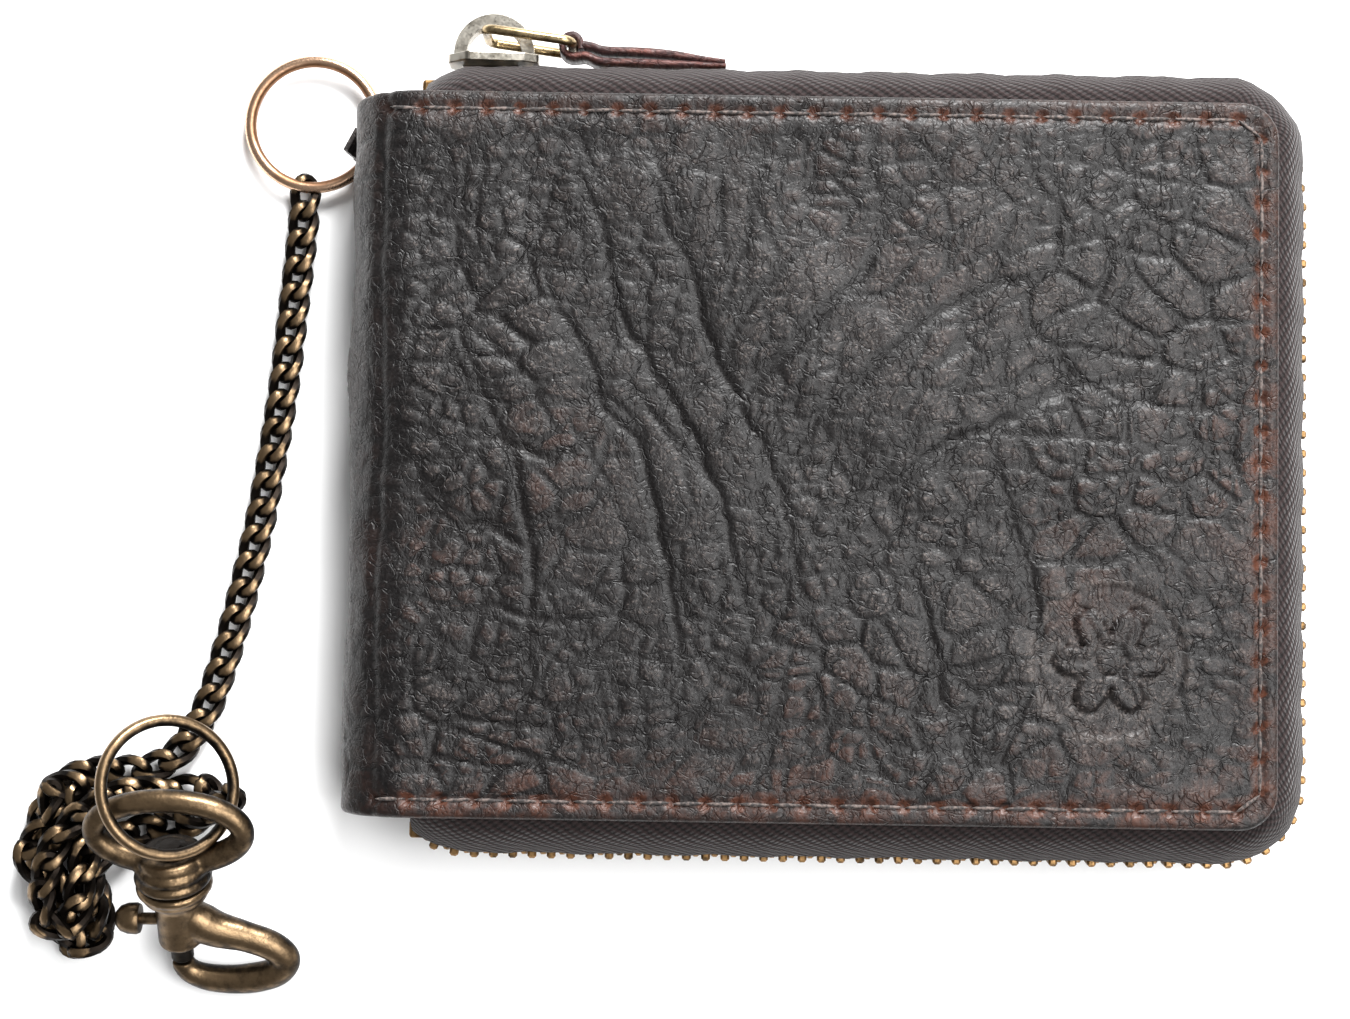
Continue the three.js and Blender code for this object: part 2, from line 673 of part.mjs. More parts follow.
// The hook leaves the barrel's side, swings out and round, and comes back up to meet the bolt.
const HOOK_PATH = [
  [1.6, -6.6], [4.4, -8.2], [8.6, -9.2], [12.2, -10.8], [13.6, -13.2], [12.0, -15.6],
  [8.0, -16.7], [3.8, -16.7], [1.2, -15.9], [0.1, -14.6], [0, -13.75],
];

function addSnapBody() {
  const barrel = turned([
    [0, -0.15], [COLLAR - 0.5, -0.15], [COLLAR, -0.5], [COLLAR, -1.3], [COLLAR - 0.7, -1.6],
    [COLLAR - 0.7, -1.9], [BARREL + 1, -2.5], [BARREL, -3.2], [BARREL, -BARREL_END], [0, -BARREL_END],
  ]);
  const path = new THREE.CatmullRomCurve3(HOOK_PATH.map(([x, y]) => new THREE.Vector3(x, y, 0)));
  const hook = new THREE.ExtrudeGeometry(roundSection(HOOK_WIRE, 10), {
    steps: 22, bevelEnabled: false, extrudePath: path,
  });
  const bore = turned([
    [0, -1.3], [BARREL_BORE, -1.3], [BARREL_BORE, -BARREL_END - 1], [0, -BARREL_END - 1],
  ], 16);
  const studBore = turned([[0, 1], [STUD + GAP, 1], [STUD + GAP, -1.2], [0, -1.2]], 16);
  const slot = block(
    [-COLLAR - 1, -KNOB_Y - KNOB_STEM - GAP, -KNOB_STEM - GAP],
    [0, -KNOB_Y + KNOB_STEM + BOLT_TRAVEL + GAP, KNOB_STEM + GAP],
  );
  const body = solid(barrel).add(solid(hook)).subtract(solid(bore)).subtract(solid(studBore))
    .subtract(solid(slot));
  add('snap_body', geometryOf(body), antiqueBrass, snap);
}

function addBolt() {
  const bolt = turned([
    [0, -BOLT_TIP], [BOLT - 0.4, -BOLT_TIP], [BOLT, -BOLT_TIP + 0.5], [BOLT, -BOLT_TAIL], [0, -BOLT_TAIL],
  ], 16);
  add('snap_bolt', bolt, antiqueBrass, snap);
  const stem = new THREE.CylinderGeometry(KNOB_STEM, KNOB_STEM, KNOB_REACH - BOLT - GAP, 12);
  stem.rotateZ(Math.PI / 2);
  stem.translate(-(KNOB_REACH + BOLT + GAP) / 2, -KNOB_Y, 0);
  const ball = new THREE.SphereGeometry(KNOB, 14, 10);
  ball.rotateZ(Math.PI / 2);
  ball.translate(-KNOB_REACH, -KNOB_Y, 0);
  add('thumb_knob', geometryOf(solid(stem).add(solid(ball))), antiqueBrass, snap);
}

function addSpring() {
  const turns = 3;
  class Helix extends THREE.Curve {
    getPoint(t) {
      const angle = 2 * Math.PI * turns * t;
      const y = -1.9 - t * (BOLT_TAIL - GAP - 0.35 - 1.9);
      return new THREE.Vector3(1.2 * Math.cos(angle), y, 1.2 * Math.sin(angle));
    }
  }
  const spring = new THREE.ExtrudeGeometry(roundSection(0.25, 6), {
    steps: 30, bevelEnabled: false, extrudePath: new Helix(),
  });
  add('bolt_spring', spring, springSteel, snap);
}

// ---------------------------------------------------------------- assembly
addHalf('rear', false);
addHalf('front', true);
addPockets();
addSpine();
addZipHalf('rear', false);
addZipHalf('front', true);
addBottomStop();
addSlider();
addCrown();
addPull();
addWalletRing();
addRingTab();
addChain();
addLowerRing();
addEye();
addStud();
addSnapBody();
addBolt();
addSpring();

export default wallet;
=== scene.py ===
"""Looks of a zip-around leather wallet with a curb chain and a swivel snap, on its CAD frame."""

import math

import bpy
import numpy as np
from mathutils import Matrix, Vector


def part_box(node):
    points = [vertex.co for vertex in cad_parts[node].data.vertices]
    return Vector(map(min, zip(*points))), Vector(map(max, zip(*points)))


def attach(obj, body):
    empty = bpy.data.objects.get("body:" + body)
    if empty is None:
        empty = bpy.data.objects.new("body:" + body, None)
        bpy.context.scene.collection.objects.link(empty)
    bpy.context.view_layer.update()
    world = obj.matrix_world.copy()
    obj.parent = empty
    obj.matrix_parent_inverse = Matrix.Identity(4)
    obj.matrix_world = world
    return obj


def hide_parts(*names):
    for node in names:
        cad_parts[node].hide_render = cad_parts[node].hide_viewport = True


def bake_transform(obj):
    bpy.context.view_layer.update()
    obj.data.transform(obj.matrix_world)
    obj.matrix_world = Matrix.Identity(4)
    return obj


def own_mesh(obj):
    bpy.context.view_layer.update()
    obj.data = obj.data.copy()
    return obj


bl_info = {
    "name": "Chain wallet",
    "version": (1, 0, 0),
    "blender": (4, 5, 0),
    "location": "3D View > Sidebar > Wallet",
    "description": "Builds the leather, zip, chain and snap of a zip-around wallet round its CAD frame",
    "category": "Add Mesh",
}

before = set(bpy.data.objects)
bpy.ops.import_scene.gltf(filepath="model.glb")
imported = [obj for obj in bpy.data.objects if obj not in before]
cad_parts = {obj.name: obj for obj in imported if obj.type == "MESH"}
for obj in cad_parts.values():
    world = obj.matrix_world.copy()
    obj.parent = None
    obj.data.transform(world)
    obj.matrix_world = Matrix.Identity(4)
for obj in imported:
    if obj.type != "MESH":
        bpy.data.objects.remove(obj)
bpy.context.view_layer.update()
MM = 0.001

# ------------------------------------------------------------- sizes from the frame, in millimetres
EDGE_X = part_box("front_cover")[1][0] / MM
EDGE_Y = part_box("front_cover")[1][1] / MM
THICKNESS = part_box("front_cover")[1][2] / MM
SPINE_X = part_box("spine_wrap")[0][0] / MM
FLAT_X = -50.5                   # where the flat covers meet the rounded spine
CORNER = 5.0
LEATHER = 1.5
MID_Z = THICKNESS / 2
SPINE_DEPTH = FLAT_X - SPINE_X

ZIP_OUT = 4.2
ZIP_CORNER = 10.0
ZIP_START = -50.2
TAPE = 0.7

SNAP_ORIGIN = (-81.7, -55.74, 11.1)
SNAP_TILT = 33.0
RING_RADIUS = 8.7
LOWER_RING = (-81.74, -43.58, 16.0)
LOWER_RING_NORMAL = (0.46, 0.16, 0.87)
WALLET_RING = (-67.1, 46.0, 2.0)
PULL_WIRE = 1.3
PULL_LENGTH = 11.5
PULL_SLOPE = -7.5
PULL_AT = (-42.9, 56.4, MID_Z)

CHAIN_WIDTH = 4.4
LINK_PITCH = 3.7
CHAIN_Z = 1.45
HEAP_TOP = 7.4                   # highest centre of a link in the heap
# The free stretch of the chain, as in the CAD part, then the heap in three layers.
CHAIN_ROUTE = [
    (-68.2, 36.0), (-68.4, 31.8), (-69.0, 25.0), (-69.6, 19.0), (-70.2, 12.5), (-71.2, 4.6),
    (-72.2, -2.0), (-73.3, -8.6), (-75.2, -17.5), (-77.3, -26.0), (-79.6, -33.4), (-81.4, -37.2),
]
HEAP_ROUTE = [
    (-83.6, -40.7, 1.5), (-86.6, -42.4, 1.5), (-90.4, -42.6, 1.5), (-94.2, -42.2, 1.5),
    (-97.7, -42.8, 1.5), (-100.4, -45.0, 1.5), (-102.1, -48.4, 1.5), (-102.6, -52.2, 1.5),
    (-101.8, -56.2, 1.5), (-100.5, -59.8, 1.5), (-99.1, -63.4, 1.5), (-97.2, -66.4, 1.5),
    (-94.0, -66.4, 1.5), (-92.8, -62.8, 1.5), (-94.0, -59.0, 1.5), (-95.8, -55.4, 1.5),
    (-97.2, -52.0, 1.5), (-97.9, -48.6, 1.5), (-95.6, -46.6, 1.6), (-91.6, -46.8, 1.6),
    (-87.6, -46.2, 1.6), (-83.6, -45.2, 1.6), (-79.8, -44.0, 1.6), (-77.0, -45.8, 1.7),
    (-79.6, -48.6, 1.7), (-83.6, -49.4, 1.7), (-87.6, -49.8, 1.8), (-91.2, -51.2, 2.6),
    (-94.2, -53.4, 4.2), (-95.0, -57.2, 4.3), (-93.8, -61.2, 4.3), (-92.6, -64.6, 4.0),
    (-95.0, -67.0, 3.6), (-97.1, -64.4, 4.2), (-97.9, -60.6, 4.4), (-98.8, -56.8, 4.4),
    (-100.4, -53.6, 4.3), (-103.2, -55.4, 3.4), (-103.8, -52.6, 3.8), (-101.6, -50.6, 4.4),
    (-99.4, -53.0, 4.6), (-97.6, -50.6, 4.5), (-99.1, -47.4, 4.4), (-101.5, -46.0, 4.2),
    (-99.7, -43.4, 4.2), (-96.9, -43.6, 4.3), (-95.4, -46.8, 4.4), (-94.2, -50.2, 4.4),
    (-94.6, -54.0, 6.2), (-95.0, -58.2, 7.0), (-95.6, -62.0, 7.0), (-97.2, -65.0, 6.2), (-99.6, -62.6, 7.0),
    (-100.2, -58.6, 7.2), (-99.4, -54.6, 7.2), (-98.4, -50.8, 7.2), (-95.8, -48.0, 7.0), (-92.6, -46.4, 6.0),
    (-87.4, -43.6, 4.4), (-84.6, -46.2, 4.4),
    (-81.6, -47.8, 4.6), (-78.4, -47.4, 5.4), (-76.2, -46.2, 7.2), (-75.0, -45.4, 9.4),
]
MOTIF = (38.5, -25.4)            # middle of the blind-embossed motif
FAN = (-9.0, -27.0)              # where the folds of the hide run together
ROOM_LIGHT = 0.3
LIGHT_AIM = Vector((-0.02, 0, 0.01))


# ------------------------------------------------------------- materials
def linear(code):
    """sRGB hex to the linear colour that a socket takes."""
    parts = [int(code[i:i + 2], 16) / 255 for i in (1, 3, 5)]
    return [c / 12.92 if c <= 0.04045 else ((c + 0.055) / 1.055) ** 2.4 for c in parts] + [1.0]


def node(tree, kind, inputs=None, **settings):
    """Adds a node with its settings and links."""
    new = tree.nodes.new(kind)
    for key, value in settings.items():
        setattr(new, key, value)
    for key, value in (inputs or {}).items():
        if isinstance(value, bpy.types.NodeSocket):
            tree.links.new(value, new.inputs[key])
        else:
            new.inputs[key].default_value = value
    return new


def blank(name, **shader):
    """A material with one surface shader; its constants go on the shader's own sockets."""
    material = bpy.data.materials.new(name)
    material.use_nodes = True
    tree = material.node_tree
    tree.nodes.clear()
    surface = node(tree, "ShaderNodeBsdfPrincipled", shader)
    node(tree, "ShaderNodeOutputMaterial", {"Surface": surface.outputs[0]})
    return material, tree, surface


def maths(tree, operation, a, b=0.0, c=0.0, clamp=False):
    return node(tree, "ShaderNodeMath", {0: a, 1: b, 2: c}, operation=operation, use_clamp=clamp).outputs[0]


def span(tree, value, low, high, to_low=0.0, to_high=1.0):
    """Maps a range smoothly onto another."""
    inputs = {"Value": value, "From Min": low, "From Max": high, "To Min": to_low, "To Max": to_high}
    return node(tree, "ShaderNodeMapRange", inputs, interpolation_type="SMOOTHSTEP").outputs[0]


def blended(tree, factor, a, b, how="MIX"):
    """Mixes two colours, each a hex code or a socket."""
    a, b = (linear(c) if isinstance(c, str) else c for c in (a, b))
    mix = node(tree, "ShaderNodeMix", {0: factor, 6: a, 7: b}, data_type="RGBA", blend_type=how)
    return mix.outputs[2]


def millimetres(tree, uv=None):
    """Coordinates in millimetres: the piece's own unrolled map, or its place in the frame."""
    if uv:
        return node(tree, "ShaderNodeUVMap", uv_map=uv).outputs[0]
    place = node(tree, "ShaderNodeTexCoord").outputs["Object"]
    return node(tree, "ShaderNodeVectorMath", {0: place, "Scale": 1 / MM}, operation="SCALE").outputs[0]


def noise(tree, where, size, detail=2.0, rough=0.5):
    """Cloudy noise whose lumps are about size millimetres."""
    inputs = {"Vector": where, "Scale": 1 / size, "Detail": detail, "Roughness": rough}
    return node(tree, "ShaderNodeTexNoise", inputs)


def raised(tree, surface, height, depth):
    """Bump of a height from 0 to 1 that stands for depth millimetres."""
    bump = node(tree, "ShaderNodeBump", {"Height": height, "Distance": depth * MM, "Strength": 1.0})
    tree.links.new(bump.outputs[0], surface.inputs["Normal"])


def full_grain_leather(name, dark, mid, rust, uv="unrolled"):
    """Waxed full-grain hide with wrinkles, pebbled grain and pores: painted shade makes the creases, grain
    hollows and pores near-black;
    the grain tops are greyer, part dry dust and part painted highlight; reddish where the wax has rubbed off;
    the waxed mask, part painted shade, darkens the spine and edges."""
    material, tree, surface = blank(name, **{"Specular IOR Level": 0.3})
    where = millimetres(tree, uv)
    drift = noise(tree, where, 5.0, 3.0).outputs["Color"]
    push = node(tree, "ShaderNodeVectorMath", {0: drift, 1: (0.5, 0.5, 0.5)}, operation="SUBTRACT")
    push = node(tree, "ShaderNodeVectorMath", {0: push.outputs[0], "Scale": 4.4}, operation="SCALE")
    bent = node(tree, "ShaderNodeVectorMath", {0: where, 1: push.outputs[0]}, operation="ADD").outputs[0]
    nets = []
    for size, width in ((2.6, 0.055), (1.35, 0.07)):
        seed = node(tree, "ShaderNodeVectorMath", {0: bent, 1: (size * 7, 0, 0)}, operation="ADD").outputs[0]
        edge = node(tree, "ShaderNodeTexVoronoi", {"Vector": seed, "Scale": 1 / size},
                    feature="DISTANCE_TO_EDGE").outputs["Distance"]
        nets.append(span(tree, edge, 0.0, width, 1.0, 0.0))
    grain = node(tree, "ShaderNodeTexVoronoi", {"Vector": bent, "Scale": 1 / 0.8}).outputs["Distance"]
    pores = node(tree, "ShaderNodeTexVoronoi", {"Vector": where, "Scale": 1 / 0.5}).outputs["Distance"]
    pebble = span(tree, grain, 0.75, 0.15)
    pore = span(tree, pores, 0.1, 0.4)
    fine = noise(tree, where, 0.35, 2.0).outputs["Fac"]
    patch = noise(tree, where, 13.0, 3.0, 0.6).outputs["Fac"]
    strength = span(tree, patch, 0.36, 0.62, 0.45, 1.0)
    broken = span(tree, noise(tree, where, 2.2, 2.0).outputs["Fac"], 0.4, 0.6, 0.15, 1.0)
    lines = maths(tree, "MAXIMUM", nets[0], maths(tree, "MULTIPLY", nets[1], 0.6))
    lines = maths(tree, "MULTIPLY", maths(tree, "MULTIPLY", lines, strength), broken)
    height = maths(tree, "MULTIPLY", lines, -0.7)
    height = maths(tree, "ADD", height, maths(tree, "MULTIPLY", pebble, 0.2))
    height = maths(tree, "ADD", height, maths(tree, "MULTIPLY", pore, 0.14))
    height = maths(tree, "ADD", height, maths(tree, "MULTIPLY", fine, 0.12))
    raised(tree, surface, height, 0.17)
    crease = node(tree, "ShaderNodeAttribute", attribute_name="crease").outputs["Fac"]
    rubbed = node(tree, "ShaderNodeAttribute", attribute_name="rubbed").outputs["Fac"]
    pale = node(tree, "ShaderNodeAttribute", attribute_name="pale").outputs["Fac"]
    shade = blended(tree, span(tree, patch, 0.3, 0.7), dark, mid)
    # Part dust, part painted highlight: the tops of the pebble grain are lightened to grey where the fine
    # noise is high.
    dust_and_highlight = maths(tree, "MULTIPLY", span(tree, fine, 0.45, 0.72), span(tree, pebble, 0.2, 0.9))
    shade = blended(tree, maths(tree, "MULTIPLY", dust_and_highlight, 0.75), shade, "#5f5753")
    redness = maths(tree, "MULTIPLY", rubbed, span(tree, noise(tree, where, 5.0, 4.0, 0.65).outputs["Fac"],
                                                   0.36, 0.62))
    redness = maths(tree, "ADD", redness, span(tree, rubbed, 1.3, 2.2), clamp=True)
    shade = blended(tree, maths(tree, "MULTIPLY", redness, 0.85), shade, rust)
    shade = blended(tree, maths(tree, "MULTIPLY", pale, 0.16), shade, "#756c67")
    # Part painted shade: the waxed mask darkens the rounded spine, which faces away from the light, and the
    # edges nearly to black; its random patches are real wax.
    waxed = node(tree, "ShaderNodeAttribute", attribute_name="waxed").outputs["Fac"]
    shade = blended(tree, maths(tree, "MULTIPLY", waxed, 0.85), shade, "#0a0707")
    # Painted shade: the creases, the hollows of the pebble grain and the pores are darkened nearly to black.
    painted_hollow_shade = maths(tree, "MAXIMUM", maths(tree, "MULTIPLY", lines, 0.6),
                 span(tree, crease, 0.1, 0.6, 0.0, 0.97))
    painted_hollow_shade = maths(tree, "MAXIMUM", painted_hollow_shade, span(tree, pebble, 0.35, 0.0, 0.0, 0.5))
    painted_hollow_shade = maths(tree, "MAXIMUM", painted_hollow_shade, span(tree, pores, 0.3, 0.1, 0.0, 0.65))
    shade = blended(tree, painted_hollow_shade, shade, "#070505")
    tree.links.new(shade, surface.inputs["Base Color"])
    tree.links.new(span(tree, fine, 0.3, 0.7, 0.38, 0.56), surface.inputs["Roughness"])
    return material


def zip_tape_cloth():
    """Woven polyester zip tape: slanting ribs of plied yarn, matt, purple-brown."""
    material, tree, surface = blank("woven_polyester_tape", Roughness=0.85,
                                    **{"Sheen Weight": 0.12, "Specular IOR Level": 0.2})
    where = millimetres(tree, "unrolled")
    axes = node(tree, "ShaderNodeSeparateXYZ", {0: where})
    along, across = axes.outputs[0], axes.outputs[1]
    # ribs every 1.7 mm, each of knots every 0.55 mm
    rib = maths(tree, "ADD", maths(tree, "DIVIDE", along, 1.7), maths(tree, "DIVIDE", across, 1.0))
    rib = maths(tree, "ABSOLUTE", maths(tree, "SUBTRACT", maths(tree, "FRACT", rib), 0.5))
    rib = maths(tree, "SUBTRACT", 1.0, maths(tree, "MULTIPLY", rib, 2.0))
    knot = maths(tree, "SUBTRACT", maths(tree, "DIVIDE", along, 1.1), maths(tree, "DIVIDE", across, 0.62))
    knot = maths(tree, "ABSOLUTE", maths(tree, "SUBTRACT", maths(tree, "FRACT", knot), 0.5))
    knot = maths(tree, "SUBTRACT", 1.0, maths(tree, "MULTIPLY", knot, 2.0))
    weave = maths(tree, "ADD", maths(tree, "MULTIPLY", rib, 0.6), maths(tree, "MULTIPLY", knot, 0.4))
    fuzz = noise(tree, where, 0.35, 3.0).outputs["Fac"]
    height = maths(tree, "ADD", weave, maths(tree, "MULTIPLY", fuzz, 0.35))
    raised(tree, surface, height, 0.3)
    shade = blended(tree, span(tree, weave, 0.2, 0.75), "#0a0606", "#271d1d")
    shade = blended(tree, span(tree, fuzz, 0.35, 0.7, 0.0, 0.2), shade, "#352a29")
    tree.links.new(shade, surface.inputs["Base Color"])
    return material


def worn_metal(name, dark, bright, rough, wear="wear", grime=1.6):
    """Plated metal with a dark patina left in the hollows and rubbed bright on the high spots."""
    material, tree, surface = blank(name, Metallic=1.0)
    where = millimetres(tree)
    spots = noise(tree, where, grime, 4.0, 0.6).outputs["Fac"]
    fine = noise(tree, where, 0.35, 2.0).outputs["Fac"]
    high = node(tree, "ShaderNodeAttribute", attribute_name=wear).outputs["Fac"]
    mask = maths(tree, "ADD", high, maths(tree, "MULTIPLY", maths(tree, "SUBTRACT", spots, 0.5), 0.9))
    mask = span(tree, mask, 0.35, 1.05)
    tree.links.new(blended(tree, mask, dark, bright), surface.inputs["Base Color"])
    tree.links.new(maths(tree, "ADD", span(tree, mask, 0.0, 1.0, rough + 0.14, rough),
                         maths(tree, "MULTIPLY", fine, 0.1)), surface.inputs["Roughness"])
    raised(tree, surface, maths(tree, "ADD", spots, maths(tree, "MULTIPLY", fine, 0.5)), 0.05)
    return material


def plain_metal(name, shade, stain, rough, lump=2.0):
    """Plated or polished metal with faint stains and hairline wear."""
    material, tree, surface = blank(name, Metallic=1.0)
    where = millimetres(tree)
    spots = noise(tree, where, lump, 2.0, 0.5).outputs["Fac"]
    fine = noise(tree, where, 0.3, 2.0).outputs["Fac"]
    tree.links.new(blended(tree, span(tree, spots, 0.4, 0.72), shade, stain), surface.inputs["Base Color"])
    tree.links.new(span(tree, fine, 0.2, 0.8, rough, rough + 0.14), surface.inputs["Roughness"])
    raised(tree, surface, spots, 0.02)
    return material


def lining_cloth(name, dark, light, pitch=0.5):
    """Plain-woven lining cloth: a fine square weave, matt, with a little lint."""
    material, tree, surface = blank(name, Roughness=0.8, **{"Sheen Weight": 0.2})
    where = millimetres(tree)
    axes = node(tree, "ShaderNodeSeparateXYZ", {0: where})
    turns = 2 * math.pi / pitch
    warp = maths(tree, "SINE", maths(tree, "MULTIPLY", axes.outputs[0], turns))
    weft = maths(tree, "SINE", maths(tree, "MULTIPLY", axes.outputs[1], turns))
    weave = maths(tree, "MULTIPLY_ADD", maths(tree, "MULTIPLY", warp, weft), 0.5, 0.5)
    lint = noise(tree, where, 2.0, 4.0).outputs["Fac"]
    raised(tree, surface, weave, 0.08)
    mask = maths(tree, "MULTIPLY", weave, span(tree, lint, 0.25, 0.75))
    tree.links.new(blended(tree, mask, dark, light), surface.inputs["Base Color"])
    return material


def sewing_thread(name, dark, light):
    """Twisted polyester thread: dark, matt, with lighter plies."""
    material, tree, surface = blank(name, Roughness=0.7, **{"Sheen Weight": 0.2})
    where = millimetres(tree)
    plies = noise(tree, where, 0.5, 2.0).outputs["Fac"]
    raised(tree, surface, plies, 0.06)
    tree.links.new(blended(tree, span(tree, plies, 0.4, 0.65), dark, light), surface.inputs["Base Color"])
    return material


def floor_board():
    """Matt white seamless card."""
    material, tree, surface = blank("white_card", Roughness=0.9, **{"Specular IOR Level": 0.1})
    tone = noise(tree, millimetres(tree), 60.0).outputs["Fac"]
    tree.links.new(blended(tree, tone, "#f7f7f7", "#fbfbfb"), surface.inputs["Base Color"])
    return material


# ------------------------------------------------------------- mesh helpers
def deselect():
    for thing in list(bpy.context.selected_objects):
        thing.select_set(False)


def activate(*things):
    deselect()
    for thing in things:
        thing.select_set(True)
    bpy.context.view_layer.objects.active = things[0]


def mend(piece, merge=0.0):
    """Merges doubles and turns every face outwards."""
    activate(piece)
    bpy.ops.object.mode_set(mode="EDIT")
    bpy.ops.mesh.select_all(action="SELECT")
    if merge:
        bpy.ops.mesh.remove_doubles(threshold=merge * MM)
    bpy.ops.mesh.normals_make_consistent(inside=False)
    bpy.ops.object.mode_set(mode="OBJECT")


def shaped(name, points, faces, place=None, angle=40):
    """A mesh piece from points in millimetres, placed by a matrix whose move is in millimetres."""
    points = np.asarray(points, float)
    if place is not None:
        turn = np.array(place)
        points = points @ turn[:3, :3].T + turn[:3, 3]
    mesh = bpy.data.meshes.new(name)
    mesh.from_pydata((points * MM).tolist(), [], faces)
    mesh.update()
    piece = bpy.data.objects.new(name, mesh)
    bpy.context.scene.collection.objects.link(piece)
    mend(piece)
    activate(piece)
    bpy.ops.object.shade_smooth_by_angle(angle=math.radians(angle))
    return piece


def dressed(piece, material, body=None, stands_for=()):
    """Gives a piece its material and its body, and hides the CAD nodes it stands for."""
    piece.data.materials.clear()
    piece.data.materials.append(material)
    if body:
        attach(piece, body)
    if stands_for:
        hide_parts(*stands_for)
    return piece


def with_values(piece, name, values):
    """Stores one number per vertex."""
    attribute = piece.data.attributes.new(name, "FLOAT", "POINT")
    attribute.data.foreach_set("value", np.asarray(values, np.float32))


def with_map(piece, per_vertex):
    """Stores an unrolled map, in millimetres, from one pair per vertex."""
    layer = piece.data.uv_layers.new(name="unrolled")
    index = np.empty(len(piece.data.loops), np.int32)
    piece.data.loops.foreach_get("vertex_index", index)
    layer.data.foreach_set("uv", np.asarray(per_vertex, np.float32)[index].ravel())


def corners(piece):
    points = np.empty(len(piece.data.vertices) * 3)
    piece.data.vertices.foreach_get("co", points)
    return points.reshape(-1, 3) / MM


def settled(piece):
    """Flattens what would sink into the floor, as wear flattens it."""
    points = corners(piece)
    points[:, 2] = np.maximum(points[:, 2], 0.02)
    piece.data.vertices.foreach_set("co", (points * MM).ravel())
    piece.data.update()


def rod(points, radii, sides=12, closed=False, up=(0, 0, 1), squash=1.0):
    """Points and faces of a round bar along a line; squash narrows it along up."""
    line = np.asarray(points, float)
    count = len(line)
    radii = np.broadcast_to(np.asarray(radii, float), (count,))
    if closed:
        run = np.roll(line, -1, 0) - np.roll(line, 1, 0)
    else:
        run = np.gradient(line, axis=0)
    run /= np.linalg.norm(run, axis=1)[:, None]
    up = np.broadcast_to(np.asarray(up, float), line.shape)
    lift = up - (up * run).sum(1)[:, None] * run
    lift /= np.linalg.norm(lift, axis=1)[:, None]
    side = np.cross(run, lift)
    angle = np.linspace(0, 2 * np.pi, sides, endpoint=False)
    ring = (side[:, None] * np.cos(angle)[None, :, None]
            + lift[:, None] * np.sin(angle)[None, :, None] * squash)
    cloud = (line[:, None] + ring * radii[:, None, None]).reshape(-1, 3)
    faces = []
    for i in range(count if closed else count - 1):
        j = (i + 1) % count
        for k in range(sides):
            m = (k + 1) % sides
            faces.append((i * sides + k, i * sides + m, j * sides + m, j * sides + k))
    if not closed:
        faces.append(tuple(range(sides)))
        faces.append(tuple((count - 1) * sides + k for k in reversed(range(sides))))
    return cloud, faces


def smooth_line(points, step):
    """A Catmull-Rom line through the points, in even steps."""
    points = np.asarray(points, float)
    ends = np.vstack([2 * points[0] - points[1], points, 2 * points[-1] - points[-2]])
    t = np.linspace(0, 1, 24, endpoint=False)[:, None]
    parts = []
    for a, b, c, d in zip(ends[:-3], ends[1:-2], ends[2:-1], ends[3:]):
        parts.append(0.5 * (2 * b + (c - a) * t + (2 * a - 5 * b + 4 * c - d) * t ** 2
                            + (3 * b - a - 3 * c + d) * t ** 3))
    line = np.vstack(parts + [points[-1:]])
    return evenly(line, step)


def evenly(line, step):
    reach = np.concatenate([[0], np.cumsum(np.linalg.norm(np.diff(line, axis=0), axis=1))])
    count = max(int(round(reach[-1] / step)), 2)
    places = np.linspace(0, reach[-1], count + 1)
    return np.column_stack([np.interp(places, reach, line[:, i]) for i in range(line.shape[1])])


def turned(name, profile, place, steps=40):
    """A turned piece: its profile of (radius, height) pairs is spun round the Y axis."""
    mesh = bpy.data.meshes.new(name)
    edges = [(i, i + 1) for i in range(len(profile) - 1)]
    mesh.from_pydata([(r * MM, y * MM, 0) for r, y in profile], edges, [])
    piece = bpy.data.objects.new(name, mesh)
    bpy.context.scene.collection.objects.link(piece)
    activate(piece)
    bpy.ops.object.mode_set(mode="EDIT")
    bpy.ops.mesh.select_all(action="SELECT")
    bpy.ops.mesh.spin(steps=steps, angle=2 * math.pi, center=(0, 0, 0), axis=(0, 1, 0))
    bpy.ops.mesh.select_all(action="SELECT")
    bpy.ops.mesh.remove_doubles(threshold=1e-6)
    bpy.ops.mesh.normals_make_consistent(inside=False)
    bpy.ops.object.mode_set(mode="OBJECT")
    turn = Matrix(place)
    turn.translation = turn.translation * MM
    piece.data.transform(turn)
    bpy.ops.object.shade_smooth_by_angle(angle=math.radians(35))
    return piece


def joined(name, *parts):
    activate(*parts)
    bpy.ops.object.join()
    parts[0].name = name
    parts[0].data.name = name
    return parts[0]


def applied(piece, kind, **settings):
    """Adds a modifier and applies it."""
    activate(piece)
    modifier = piece.modifiers.new(kind.title(), kind)
    for key, value in settings.items():
        setattr(modifier, key, value)
    bpy.ops.object.modifier_apply(modifier=modifier.name)
    return piece


def copies(name, source, places, angle=40):
    """One piece of many copies of a modelled one, each at its own matrix in millimetres."""
    points = corners(source)
    faces = [tuple(p.vertices) for p in source.data.polygons]
    cloud = []
    all_faces = []
    for count, place in enumerate(places):
        turn = np.array(place)
        cloud.append(points @ turn[:3, :3].T + turn[:3, 3])
        start = count * len(points)
        all_faces.extend(tuple(v + start for v in face) for face in faces)
    bpy.data.objects.remove(source)
    return shaped(name, np.vstack(cloud), all_faces, angle=angle)


